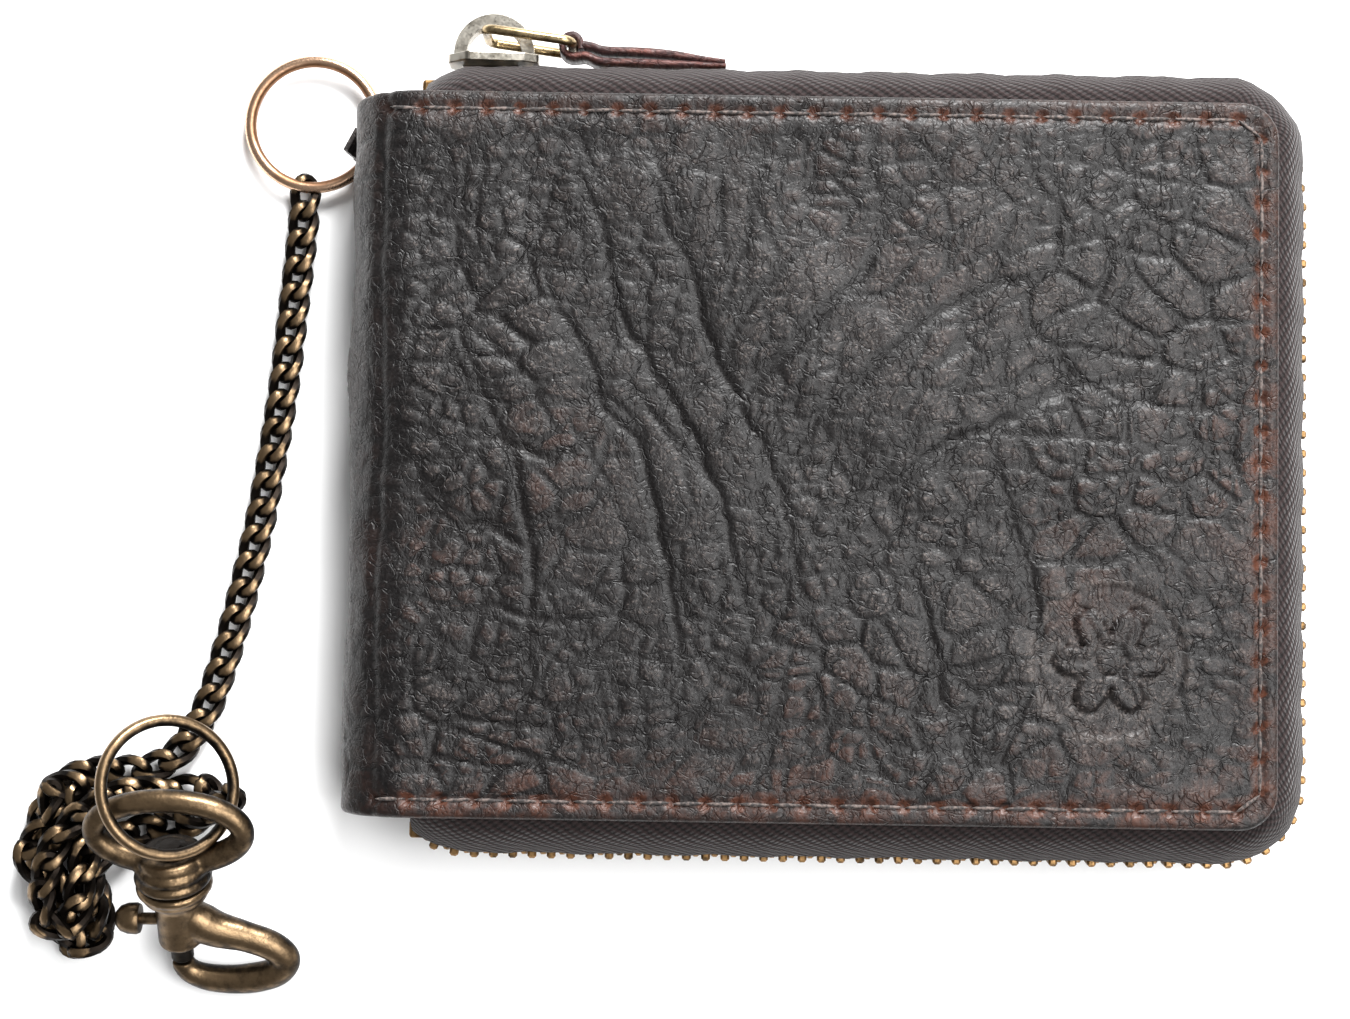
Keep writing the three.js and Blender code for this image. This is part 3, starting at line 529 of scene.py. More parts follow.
def block(name, size, bevel, segments=2):
    """A cube primitive at its size, with its edges bevelled in edit mode."""
    deselect()
    bpy.ops.mesh.primitive_cube_add(size=1)
    piece = bpy.context.object
    piece.name = name
    piece.scale = [s * MM for s in size]
    bpy.ops.object.transform_apply(location=False, rotation=False, scale=True)
    bpy.ops.object.mode_set(mode="EDIT")
    bpy.ops.mesh.select_all(action="SELECT")
    bpy.ops.mesh.bevel(offset=bevel * MM, segments=segments, affect="EDGES")
    bpy.ops.object.mode_set(mode="OBJECT")
    return piece


def placed(origin, along, up):
    """A matrix with X along a direction and Z towards up."""
    x = Vector(along).normalized()
    z = Vector(up)
    z = (z - z.dot(x) * x).normalized()
    y = z.cross(x)
    turn = Matrix((x, y, z)).transposed().to_4x4()
    turn.translation = Vector(origin)
    return turn


SNAP_PLACE = Matrix.Translation(SNAP_ORIGIN) @ Matrix.Rotation(math.radians(SNAP_TILT), 4, "X")


# ------------------------------------------------------------- leather relief
def lattice(u, y, size, rng):
    """Smooth noise from -1 to 1 with lumps of about size millimetres."""
    table = rng.uniform(-1, 1, (64, 64))
    a, b = u / size + 1000, y / size + 1000
    i, j = np.floor(a).astype(int), np.floor(b).astype(int)
    s, t = a - i, b - j
    s, t = s * s * (3 - 2 * s), t * t * (3 - 2 * t)
    at = lambda p, q: table[(i + p) % 64, (j + q) % 64]
    return ((1 - s) * ((1 - t) * at(0, 0) + t * at(0, 1)) + s * ((1 - t) * at(1, 0) + t * at(1, 1)))


def carve(depth, us, vs, u, y, line, width, deep):
    """Presses a crease along a line into the depth map; us and vs are the grid's sorted axes."""
    reach = 3.2 * width
    total = len(line) - 1
    for k in range(total):
        (ax, ay), (bx, by) = line[k], line[k + 1]
        i0, i1 = np.searchsorted(us, (min(ax, bx) - reach, max(ax, bx) + reach))
        j0, j1 = np.searchsorted(vs, (min(ay, by) - reach, max(ay, by) + reach))
        if i1 <= i0 or j1 <= j0:
            continue
        x, z = u[i0:i1, j0:j1] - ax, y[i0:i1, j0:j1] - ay
        dx, dy = bx - ax, by - ay
        t = np.clip((x * dx + z * dy) / (dx * dx + dy * dy + 1e-9), 0, 1)
        away = np.hypot(x - t * dx, z - t * dy) / width
        fade = math.sin(math.pi * (k + 0.5) / total) ** 0.6
        cut = deep * fade * (0.68 * np.exp(-away ** 2) + 0.32 * np.exp(-(away / 2.4) ** 2))
        window = depth[i0:i1, j0:j1]
        np.maximum(window, cut, out=window)


def cell_edges(u, y, size, rng):
    """Distance, in millimetres, to the nearest border of irregular cells of about that size."""
    warp = 0.55 * size
    a = (u + warp * lattice(u, y, 2.2 * size, rng)) / size + 100
    b = (y + warp * lattice(u, y, 2.2 * size, rng)) / (0.72 * size) + 100
    table = rng.uniform(0.12, 0.88, (64, 64, 2))
    i, j = np.floor(a).astype(int), np.floor(b).astype(int)
    first = np.full(u.shape, 9.0)
    second = np.full(u.shape, 9.0)
    for p in (-1, 0, 1):
        for q in (-1, 0, 1):
            seed = table[(i + p) % 64, (j + q) % 64]
            far = np.hypot(i + p + seed[..., 0] - a, j + q + seed[..., 1] - b)
            second = np.minimum(second, np.maximum(first, far))
            first = np.minimum(first, far)
    return (second - first) / 2 * size


def fold_direction(x, y):
    return math.atan2(y - FAN[1], x - FAN[0])


def wander(rng, x, y, turn, length, wobble):
    """A crease that follows the fan of folds, turned by an angle, wandering a little."""
    heading = fold_direction(x, y) + turn
    lean = rng.normal(0, 0.4)
    line = [(x, y)]
    steps = max(int(length / 1.3), 3)
    for _ in range(steps):
        field = fold_direction(x, y) + turn + lean
        change = (field - heading + math.pi) % (2 * math.pi) - math.pi
        if abs(change) > math.pi / 2:
            change = 0.0
        heading += 0.35 * change + rng.normal(0, wobble)
        x += 1.3 * math.cos(heading)
        y += 1.3 * math.sin(heading)
        line.append((x, y))
    return line


# The folds that run right across the hide, each through a few points of the cover.
GREAT_FOLDS = [
    [(-29, 43), (-31, 36), (-28, 27), (-25, 19), (-21, 11), (-17, 3), (-13, -5), (-10, -14), (-8, -24)],
    [(-36, 27), (-33, 20), (-29, 12), (-25, 4), (-21, -4), (-18, -13), (-16, -22), (-15, -32)],
    [(-45, 20), (-43, 12), (-40, 4), (-37, -6), (-36, -16), (-35, -26), (-37, -36)],
    [(-22, 40), (-20, 31), (-16, 23), (-13, 14), (-9, 5), (-5, -4), (-2, -14), (0, -24)],
    [(-8, -6), (-2, 2), (5, 8), (11, 14), (18, 19), (26, 24), (35, 28)],
    [(-12, 0), (-6, 9), (1, 16), (8, 24), (12, 33)],
    [(2, -12), (9, -4), (17, 2), (26, 6), (36, 10), (46, 12)],
    [(12, -10), (14, -20), (16, -30), (20, -39)],
    [(23, 3), (26, -8), (30, -18), (33, -30)],
    [(-48, 0), (-40, 3), (-32, 1), (-25, 4)],
    [(-49, -12), (-42, -9), (-34, -11), (-27, -8)],
    [(-48, -22), (-40, -20), (-31, -23), (-24, -21)],
]


def creases(us, vs, u, y):
    """The creases of the hide as a depth map in millimetres."""
    rng = np.random.default_rng(11)
    depth = np.zeros(u.shape)
    for size, width, deep in ((7.0, 0.5, 0.44), (3.7, 0.4, 0.30)):
        faint = np.clip(0.6 + 0.9 * lattice(u, y, 3 * size, rng), 0.1, 1.0)
        edge = cell_edges(u, y, size, rng)
        depth = np.maximum(depth, deep * faint * np.exp(-(edge / width) ** 2))
    for fold in GREAT_FOLDS:
        line = evenly(np.array(fold, float), 1.4)
        line += np.cumsum(rng.normal(0, 0.3, line.shape), axis=0)
        carve(depth, us, vs, u, y, line, 0.6, 0.52)
        carve(depth, us, vs, u, y, line, 1.7, 0.16)
    for _ in range(150):
        x, z = rng.uniform(-52, 58), rng.uniform(-44, 44)
        line = wander(rng, x, z, 0.0, rng.uniform(7, 26), 0.16)
        carve(depth, us, vs, u, y, line, rng.uniform(0.34, 0.6), rng.uniform(0.08, 0.36))
    for _ in range(200):
        x, z = rng.uniform(-54, 58), rng.uniform(-45, 45)
        weight = 1.0 if x < 5 else 0.6
        line = wander(rng, x, z, math.pi / 2, rng.uniform(4, 13), 0.17)
        carve(depth, us, vs, u, y, line, rng.uniform(0.3, 0.48), weight * rng.uniform(0.08, 0.30))
    for _ in range(350):
        x, z = rng.uniform(-55, 59), rng.uniform(-45, 45)
        line = wander(rng, x, z, rng.uniform(0, math.pi), rng.uniform(2.6, 6), 0.2)
        carve(depth, us, vs, u, y, line, rng.uniform(0.26, 0.36), rng.uniform(0.04, 0.12))
    return depth


def motif(x, y):
    """A generic six-petalled rosette inside a pressed ring: its height, and its pale rim."""
    dx, dy = x - MOTIF[0], y - MOTIF[1]
    r, a = np.hypot(dx, dy), np.arctan2(dy, dx)
    petal = 3.4 + 3.9 * np.abs(np.cos(3 * a)) ** 0.8
    inside = 1 / (1 + np.exp((r - petal) / 0.28))
    height = -0.34 * np.exp(-((r - petal) / 0.42) ** 2) + 0.26 * inside
    height -= 0.30 * np.exp(-((r - 1.9) / 0.34) ** 2)
    vein = np.abs(np.sin(3 * a)) * r / 3
    height -= 0.2 * np.exp(-(np.minimum(vein, 3) / 0.3) ** 2) * inside * (r > 2.2)
    height -= 0.24 * np.exp(-((r - 9.3) / 0.36) ** 2)
    height -= 0.16 * ((r > petal) & (r < 9.3)) * np.clip((9.3 - r) / 0.8, 0, 1)
    pale = np.exp(-((r - 10.1) / 0.7) ** 2) + 0.6 * np.exp(-((r - petal - 0.7) / 0.5) ** 2)
    return 1.6 * height, pale


STITCH_IN = 2.4                  # stitch line inside the cover's edge
STITCH_PITCH = 4.2


def edge_distance(x, y):
    """How far a point of the cover is inside its top, right or bottom edge."""
    far = np.minimum(EDGE_Y - np.abs(y), EDGE_X - x)
    cx, cy = x - (EDGE_X - CORNER), np.abs(y) - (EDGE_Y - CORNER)
    round_off = CORNER - np.hypot(cx, cy)
    return np.where((cx > 0) & (cy > 0), round_off, far)


def stitch_holes():
    """Where the needle went through, in order, as (unrolled x, y, heading)."""
    inset = STITCH_IN
    radius = CORNER - inset
    cx, cy = EDGE_X - CORNER, EDGE_Y - CORNER
    line = [(-54.6, EDGE_Y - inset), (cx, EDGE_Y - inset)]
    line += [(cx + radius * math.cos(t), cy + radius * math.sin(t))
             for t in np.linspace(math.pi / 2, 0, 8)]
    line += [(cx + radius * math.cos(t), -cy + radius * math.sin(t))
             for t in np.linspace(0, -math.pi / 2, 8)]
    line += [(-54.6, -EDGE_Y + inset)]
    places = evenly(np.array(line), STITCH_PITCH)
    run = np.gradient(places, axis=0)
    return [(x, y, math.atan2(dy, dx)) for (x, y), (dx, dy) in zip(places, run)]


def relief(us, vs, u, y, front):
    """Height of the leather over its plain shape, with the crease depth and the rubbed parts."""
    rng = np.random.default_rng(5)
    inside = edge_distance(u, y)
    calm = np.clip((inside - 1.2) / 5.0, 0.18, 1.0)
    depth = creases(us, vs, u, y) if front else creases(us, vs, u, -y)
    spine = np.clip((-u - 51.0) / 4.0, 0, 1)
    depth = depth * calm * (1 - 0.55 * spine)
    height = 0.34 * lattice(u, y, 11, rng) + 0.22 * lattice(u, y, 5, rng) + 0.07 * lattice(u, y, 2.4, rng)
    height = height * np.clip(inside / 6, 0.1, 1) - depth
    seam = np.exp(-((inside - STITCH_IN) / 0.75) ** 2)
    seam = np.where(u < -55.5, 0, seam)
    height -= 0.26 * seam
    height += 0.12 * np.exp(-((inside - 4.6) / 1.2) ** 2) * (u > -54)
    fold = -55.3 + 0.45 * lattice(u * 0, y, 13, rng)
    height -= 0.42 * np.exp(-((u - fold) / 0.75) ** 2) * (u < -50)
    pale = np.zeros(u.shape)
    if front:
        for hx, hy, _ in stitch_holes():
            i0, i1 = np.searchsorted(us, (hx - 1.6, hx + 1.6))
            j0, j1 = np.searchsorted(vs, (hy - 1.6, hy + 1.6))
            away = np.hypot(u[i0:i1, j0:j1] - hx, y[i0:i1, j0:j1] - hy)
            height[i0:i1, j0:j1] -= 0.5 * np.exp(-(away / 0.6) ** 2)
            height[i0:i1, j0:j1] += 0.1 * np.exp(-((away - 1.15) / 0.4) ** 2)
        raised_motif, pale = motif(u, y)
        near = np.clip((11 - np.hypot(u - MOTIF[0], y - MOTIF[1])) / 2.5, 0, 1)
        height = height * (1 - 0.8 * near) + raised_motif
        depth = depth * (1 - 0.8 * near)
    rubbed = np.clip(0.9 - (u + 60) / 9, 0, 1) * 0.8 + np.exp(-inside / 3.5) * 0.75
    rubbed += 0.5 * np.clip(1 - (y + EDGE_Y) / 14, 0, 1)
    rubbed += 0.5 * np.clip(lattice(u, y, 17, rng) - 0.15, 0, 1)
    if front:
        for hx, hy, _ in stitch_holes():
            i0, i1 = np.searchsorted(us, (hx - 1.2, hx + 1.2))
            j0, j1 = np.searchsorted(vs, (hy - 1.2, hy + 1.2))
            away = np.hypot(u[i0:i1, j0:j1] - hx, y[i0:i1, j0:j1] - hy)
            rubbed[i0:i1, j0:j1] += 3.0 * np.exp(-(away / 0.9) ** 2)
    # The waxed mask: painted shade on the rounded spine and the fold beside it, darker along the edges, plus
    # random waxed patches.
    waxed = np.clip((-u - 50.5) / 3, 0, 1) * 0.9 + np.exp(-((u + 54.5) / 3.2) ** 2) * 0.6
    waxed += 0.7 * np.clip(lattice(u, y, 21, rng) - 0.1, 0, 1) + 0.6 * np.exp(-inside / 2.5)
    return height, depth, np.clip(rubbed, 0, 2.4), pale, np.clip(waxed - np.clip(rubbed - 1.3, 0, 1), 0, 1)


def spine_sheet(count):
    """Unrolled places, base points and outward directions round the spine, bottom to top."""
    angle = np.linspace(1.5 * math.pi, 0.5 * math.pi, 400)
    x = FLAT_X + SPINE_DEPTH * np.cos(angle)
    z = MID_Z + MID_Z * np.sin(angle)
    reach = np.concatenate([[0], np.cumsum(np.hypot(np.diff(x), np.diff(z)))])
    places = np.linspace(0, reach[-1], count)
    turn = np.interp(places, reach, angle)
    out = np.column_stack([np.cos(turn) / SPINE_DEPTH, np.sin(turn) / MID_Z])
    out /= np.linalg.norm(out, axis=1)[:, None]
    base = np.column_stack([FLAT_X + SPINE_DEPTH * np.cos(turn), MID_Z + MID_Z * np.sin(turn)])
    return FLAT_X - (reach[-1] - places), base, out


ROLL = 0.8                       # radius of the rolled edge
ROUND_STRIPS = 12                # strips at the sheet's outer end that its cap closes as one face


def leather_sheet(name, pitch, front):
    """One cover of leather, the front one with the whole spine, as a closed sheet with rolled
    edges. Returns the piece and a function that gives a point of its surface."""
    edge = np.array([0.0, 0.1, 0.28, 0.55])
    flat = np.arange(FLAT_X, EDGE_X - 0.9, pitch)
    flat = np.concatenate([flat, EDGE_X - edge[::-1]])
    base = np.column_stack([flat, np.full(len(flat), THICKNESS if front else 0.0)])
    out = np.column_stack([np.zeros(len(flat)), np.full(len(flat), 1.0 if front else -1.0)])
    us = flat
    if front:
        su, sbase, sout = spine_sheet(int(33 / max(pitch, 0.5)))
        us = np.concatenate([su[:-1], flat])
        base = np.vstack([sbase[:-1], base])
        out = np.vstack([sout[:-1], out])
    rows = np.arange(-EDGE_Y + 0.9, EDGE_Y - 0.9, pitch)
    vs = np.concatenate([-EDGE_Y + edge, rows, EDGE_Y - edge[::-1]])
    over = np.clip(us - (EDGE_X - CORNER), 0, CORNER)
    tall = EDGE_Y - (CORNER - np.sqrt(CORNER ** 2 - over ** 2))
    y = vs[None, :] * (tall / EDGE_Y)[:, None]
    u = np.repeat(us[:, None], len(vs), 1)
    height, depth, rubbed, pale, waxed = relief(us, vs, u, y, front)
    inside = np.clip(edge_distance(u, y), 0, ROLL)
    height = height - (ROLL - np.sqrt(ROLL ** 2 - (ROLL - inside) ** 2))
    if not front:
        height = np.minimum(height, 0.0) * 0.6

    def points(h):
        x = base[:, 0, None] + out[:, 0, None] * h
        z = base[:, 1, None] + out[:, 1, None] * h
        return np.stack([x, y, z], -1)

    grid = points(height)
    grid[..., 2] = np.maximum(grid[..., 2], 0.0)
    n, m = u.shape
    cloud = [grid.reshape(-1, 3)]
    faces = [(i * m + j, i * m + j + 1, (i + 1) * m + j + 1, (i + 1) * m + j)
             for i in range(n - 1) for j in range(m - 1)]
    border = [(i, 0) for i in range(n)] + [(n - 1, j) for j in range(1, m)]
    border += [(i, m - 1) for i in range(n - 2, -1, -1)] + [(0, j) for j in range(m - 2, 0, -1)]
    ring = [i * m + j for i, j in border]
    start = n * m
    for drop, tuck in ((-1.2, 0.0), (-LEATHER, 0.35)):
        flat_points = points(np.full(u.shape, drop))
        loop = np.array([flat_points[i, j] for i, j in border])
        move = np.array([
            [0.0, -np.sign(loop[k, 1])] if j in (0, m - 1) else [-1.0 if i == n - 1 else 0.0, 0.0]
            for k, (i, j) in enumerate(border)
        ])
        loop[:, :2] += move * tuck
        cloud.append(loop)
        fresh = [start + k for k in range(len(border))]
        count = len(border)
        faces += [(ring[k], ring[(k + 1) % count], fresh[(k + 1) % count], fresh[k]) for k in range(count)]
        ring = fresh
        start += count
    cap = n - ROUND_STRIPS
    top = {border[k][0]: ring[k] for k in range(len(border)) if border[k][1] == m - 1}
    low = {border[k][0]: ring[k] for k in range(len(border)) if border[k][1] == 0}
    faces += [(low[i], low[i + 1], top[i + 1], top[i]) for i in range(2, cap)]
    right = [ring[k] for k in range(len(border)) if border[k][0] >= cap]
    faces.append(tuple(right))
    first = [k for k in range(len(border)) if border[k][0] <= 2]
    low_side = [ring[k] for k in first if border[k][1] == 0]
    top_side = [ring[k] for k in first if border[k][1] == m - 1 and border[k][0] > 0]
    wall = [ring[k] for k in first if border[k][0] == 0 and border[k][1] > 0]
    faces.append(tuple(low_side + top_side + wall))
    everything = np.vstack(cloud)
    mapping = np.vstack([np.column_stack([u.ravel(), y.ravel()])]
                        + [np.array([[us[i], y[i, j]] for i, j in border])] * 2)
    piece = shaped(name, everything, faces, angle=60)
    with_map(piece, mapping)
    pad = len(everything) - n * m
    with_values(piece, "crease", np.concatenate([np.clip(depth / 0.26, 0, 1).ravel(), np.zeros(pad)]))
    with_values(piece, "rubbed", np.concatenate([rubbed.ravel(), np.full(pad, 0.9)]))
    with_values(piece, "pale", np.concatenate([pale.ravel(), np.zeros(pad)]))
    # The waxed mask, part painted shade on the spine, goes on as a vertex attribute; the edge walls get 0.6.
    with_values(piece, "waxed", np.concatenate([waxed.ravel(), np.full(pad, 0.6)]))

    def surface_at(x, yy, lift):
        i = int(np.clip(np.searchsorted(us, x), 1, n - 1))
        j = int(np.clip(np.searchsorted(vs, yy), 1, m - 1))
        h = height[i, j] + lift
        return Vector((base[i, 0] + out[i, 0] * h + (x - us[i]), yy, base[i, 1] + out[i, 1] * h)), Vector(
            (out[i, 0], 0, out[i, 1]))

    return piece, surface_at


# ------------------------------------------------------------- zip line
def zip_line(distance, out):
    """A point of the zip, by distance along it from the slider end and by how far out it lies;
    both ends curl in towards the spine. Returns the point and the direction along the zip."""
    cx, cy = EDGE_X + ZIP_OUT - ZIP_CORNER, EDGE_Y + ZIP_OUT - ZIP_CORNER
    straight, bend, side = cx - ZIP_START, ZIP_CORNER * math.pi / 2, 2 * cy
    total = 2 * straight + 2 * bend + side
    curl = max(0.0, 7.0 - distance, 7.0 - (total - distance)) / 7.0
    out = out - 2.6 * curl ** 2
    beyond = out - ZIP_OUT
    s = distance
    if s <= straight:
        return (ZIP_START + s, cy + ZIP_CORNER + beyond), (1.0, 0.0)
    s -= straight
    if s <= bend:
        a = math.pi / 2 - s / ZIP_CORNER
        r = ZIP_CORNER + beyond
        return (cx + r * math.cos(a), cy + r * math.sin(a)), (math.sin(a), -math.cos(a))
    s -= bend
    if s <= side:
        return (cx + ZIP_CORNER + beyond, cy - s), (0.0, -1.0)
    s -= side
    if s <= bend:
        a = -s / ZIP_CORNER
        r = ZIP_CORNER + beyond
        return (cx + r * math.cos(a), -cy + r * math.sin(a)), (math.sin(a), -math.cos(a))
    s -= bend
    return (cx - s, -cy - ZIP_CORNER - beyond), (-1.0, 0.0)


ZIP_LENGTH = (2 * (EDGE_X + ZIP_OUT - ZIP_CORNER - ZIP_START) + math.pi * ZIP_CORNER
              + 2 * (EDGE_Y + ZIP_OUT - ZIP_CORNER))
# The tape in section: distance beyond the cover edge, and height above the middle of the zip.
TAPE_LINE = [(-3.4, 8.85), (-1.0, 8.87), (0.4, 8.8), (1.5, 8.4), (2.4, 7.6), (3.2, 6.5), (3.75, 5.4),
             (4.05, 4.3), (4.2, 3.5)]


def tape_piece(name, sign):
    """One zip tape as a closed ribbon, thickest in the corded edge that holds the teeth."""
    line = evenly(np.array(TAPE_LINE, float), 0.7)
    run = np.gradient(line, axis=0)
    run /= np.linalg.norm(run, axis=1)[:, None]
    normal = np.column_stack([-run[:, 1], run[:, 0]])
    half = TAPE / 2 + 0.28 * np.exp(-((line[:, 1] - 4.0) / 0.8) ** 2)
    section = np.vstack([line + normal * half[:, None], (line - normal * half[:, None])[::-1]])
    across = np.concatenate([[0], np.cumsum(np.linalg.norm(np.diff(line, axis=0), axis=1))])
    across = np.concatenate([across, across[::-1]])
    steps = np.linspace(0, ZIP_LENGTH, int(ZIP_LENGTH / 1.6))
    cloud, mapping = [], []
    for s in steps:
        wave = 0.12 * math.sin(s * 0.55) + 0.08 * math.sin(s * 1.3 + 1)
        for (out, up), v in zip(section, across):
            (x, y), _ = zip_line(s, out + wave * (out > 0.5))
            cloud.append((x, y, MID_Z + sign * up))
            mapping.append((s, v))
    size = len(section)
    faces = [(i * size + k, i * size + (k + 1) % size, (i + 1) * size + (k + 1) % size, (i + 1) * size + k)
             for i in range(len(steps) - 1) for k in range(size)]
    faces.append(tuple(range(size)))
    faces.append(tuple((len(steps) - 1) * size + k for k in reversed(range(size))))
    piece = shaped(name, cloud, faces, angle=50)
    with_map(piece, mapping)
    return piece


TOOTH_PITCH = 2.5
TUCKED_RUN = EDGE_X - ZIP_START + 16      # the teeth sit deeper between the tapes up to here


def tooth_row(name, sign, offset):
    """One row of zip teeth: a cast tooth modelled once and set along the tape."""
    tooth = block(name + "_one", (1.15, 2.3, 3.5), 0.28, 1)
    activate(tooth)
    bpy.ops.object.mode_set(mode="EDIT")
    bpy.ops.mesh.select_all(action="DESELECT")
    bpy.ops.object.mode_set(mode="OBJECT")
    for face in tooth.data.polygons:
        face.select = face.center.z < -1.6 * MM
    bpy.ops.object.mode_set(mode="EDIT")
    bpy.ops.transform.resize(value=(0.75, 0.8, 1.0))
    bpy.ops.object.mode_set(mode="OBJECT")
    places = []
    s = 1.4 + offset
    while s < ZIP_LENGTH - 1.0:
        out = ZIP_OUT + 0.15 - 0.8 * min(max((TUCKED_RUN - s) / 8, 0), 1)
        (x, y), _ = zip_line(s, out)
        (ax, ay), _ = zip_line(max(s - 0.4, 0), out)
        (bx, by), _ = zip_line(min(s + 0.4, ZIP_LENGTH), out)
        places.append(placed((x, y, MID_Z + sign * 1.55), (bx - ax, by - ay, 0), (0, 0, sign)))
        s += TOOTH_PITCH
    row = copies(name, tooth, places, angle=30)
    ends = [(0.2, 1.7)] if sign > 0 else [(0.2, 1.7), (ZIP_LENGTH - 0.4, -0.6)]
    stops = []
    for s, up in ends:
        stop = block(name + "_stop", (2.2, 2.4, 2.9), 0.45)
        (x, y), way = zip_line(s, ZIP_OUT + 0.15)
        turn = placed((x, y, MID_Z + sign * up), (*way, 0), (0, 0, sign))
        turn.translation = turn.translation * MM
        stop.data.transform(turn)
        stops.append(stop)
    return joined(name, row, *stops)


# ------------------------------------------------------------- settings
class WALLET_PG_sizes(bpy.types.PropertyGroup):
    """Sizes and colours of the wallet's visible pieces."""

    grain_pitch: bpy.props.FloatProperty(
        name="Grain pitch", description="Spacing of the leather's mesh, in millimetres", default=0.42,
        min=0.3, max=2.0)
    leather_dark: bpy.props.StringProperty(
        name="Leather, waxed", description="sRGB hex of the waxed parts", default="#120f0f")
    leather_mid: bpy.props.StringProperty(
        name="Leather, dry", description="sRGB hex of the dry, worn parts", default="#252120")
    leather_rust: bpy.props.StringProperty(
        name="Leather, rubbed", description="sRGB hex where the wax is rubbed off", default="#4a291b")
    link_wire: bpy.props.FloatProperty(
        name="Link wire", description="Wire of the chain's links", default=1.5 * MM, unit="LENGTH")
    thread: bpy.props.FloatProperty(
        name="Thread", description="Thickness of the sewing thread", default=0.5 * MM, unit="LENGTH")


def settings():
    return bpy.context.scene.wallet_sizes


def finish_of(name, maker, *args, **named):
    """The material of that name, made once."""
    return bpy.data.materials.get(name) or maker(name, *args, **named)


def cover_leather():
    s = settings()
    return finish_of("full_grain_waxed_leather", full_grain_leather, s.leather_dark, s.leather_mid,
                     s.leather_rust)


def antique_brass():
    return finish_of("antique_plated_brass", worn_metal, "#1a1613", "#7d684f", 0.28)


# ------------------------------------------------------------- operators
class Make(bpy.types.Operator):
    bl_options = {"REGISTER", "UNDO"}

    def execute(self, context):
        deselect()
        self.make(context.scene)
        deselect()
        return {"FINISHED"}


class WALLET_OT_camera(Make):
    """Sets the camera over the wallet's front cover"""

    bl_idname = "wallet.camera"
    bl_label = "Camera"

    def make(self, scene):
        target = Vector((-16.95, -7.0, 22.0)) * MM
        lift = math.radians(87.0)
        spot = target + 0.300 * Vector((0, -math.cos(lift), math.sin(lift)))
        data = bpy.data.cameras.new("wallet_camera")
        data.lens = 62.9
        data.sensor_width = 36
        data.clip_start = 0.01
        eye = bpy.data.objects.new("wallet_camera", data)
        scene.collection.objects.link(eye)
        aim = (target - spot).to_track_quat("-Z", "Y").to_matrix().to_4x4()
        eye.matrix_world = Matrix.Translation(spot) @ aim @ Matrix.Rotation(math.radians(0.9), 4, "Z")
        scene.camera = eye


def relaxed(line, free_start, free_end):
    """Pushes a chain's line apart where it crosses itself, so that its turns lie on each other."""
    line = line.copy()
    first = line.copy()
    stretch = np.array([1, 1, 1.6])
    near = 3.9
    index = np.arange(len(line))
    apart = np.abs(index[:, None] - index[None, :]) > 7
    hold = np.ones(len(line))
    hold[:free_start] = 0.0
    hold[free_end:] = 0.15
    for _ in range(90):
        gap = (line[:, None] - line[None, :]) * stretch
        far = np.linalg.norm(gap, axis=2) + 1e-6
        push = np.where(apart & (far < near), (near - far) / far, 0)
        shift = (gap * push[:, :, None]).sum(1) * 0.12 / stretch
        line += shift * hold[:, None]
        line[1:-1] += 0.22 * hold[1:-1, None] * ((line[2:] + line[:-2]) / 2 - line[1:-1])
        line += 0.015 * hold[:, None] * (first - line)
        line[:free_end, 2] = np.clip(line[:free_end, 2], CHAIN_Z, HEAP_TOP)
    return line


class WALLET_OT_chain(Make):
    """Lays the curb chain: the free stretch, and the heap under the snap"""

    bl_idname = "wallet.chain"
    bl_label = "Curb chain"

    def make(self, scene):
        wire = settings().link_wire / MM
        route = [(x, y, CHAIN_Z) for x, y in CHAIN_ROUTE] + HEAP_ROUTE
        line = smooth_line(route, 1.0)
        free = int(np.argmin(np.abs(line[:, 1] + 33.4)))
        line = relaxed(line, free, len(line) - 14)
        line = evenly(line, 1.0)
        length = float(np.linalg.norm(np.diff(line, axis=0), axis=1).sum())
        path = [tuple(Vector(p) * MM) for p in line]
        # one link: a flattened oval ring, twisted so that the chain lies flat
        half_long, half_wide = (LINK_PITCH + wire) / 2 + 0.05, (CHAIN_WIDTH - wire) / 2
        around = np.linspace(0, 2 * np.pi, 22, endpoint=False)
        long = np.sign(np.cos(around)) * np.abs(np.cos(around)) ** 0.85 * half_long
        wide = np.sign(np.sin(around)) * np.abs(np.sin(around)) ** 0.85 * half_wide
        twist = math.radians(46) * long / half_long
        oval = np.column_stack([long, wide * np.cos(twist), wide * np.sin(twist)])
        up = np.column_stack([0 * long, -np.sin(twist), np.cos(twist)])
        cloud, faces = rod(oval, wire / 2, 7, closed=True, up=up)
        cloud[:, 2] = np.clip(cloud[:, 2], -1.16, 1.16)
        outer = np.abs(cloud[:, 2]) / 1.16
        wear = np.clip(1.5 * outer ** 2 - 0.35, 0, 1)
        link = shaped("link", cloud, faces)
        rng = np.random.default_rng(3)
        spots = evenly(line, LINK_PITCH)
        run = np.gradient(spots, axis=0)
        places = []
        roll = 0.0
        for k, (spot, way) in enumerate(zip(spots, run)):
            loose = min(max((k - 18) / 6, 0.15), 1)
            roll = 0.7 * roll + rng.normal(0, 0.26) * loose
            turn = placed(spot, way, (0, 0, 1))
            places.append(turn @ Matrix.Rotation(roll, 4, "X"))
        chain = copies("curb_chain", link, places)
        settled(chain)
        with_values(chain, "wear", np.tile(wear, len(places)))
        dressed(chain, antique_brass(), "back_half", ("chain_run", "chain_heap"))
        scene["chain_path"] = [c for p in path for c in p]
        scene["chain_length"] = round(length * MM, 3)


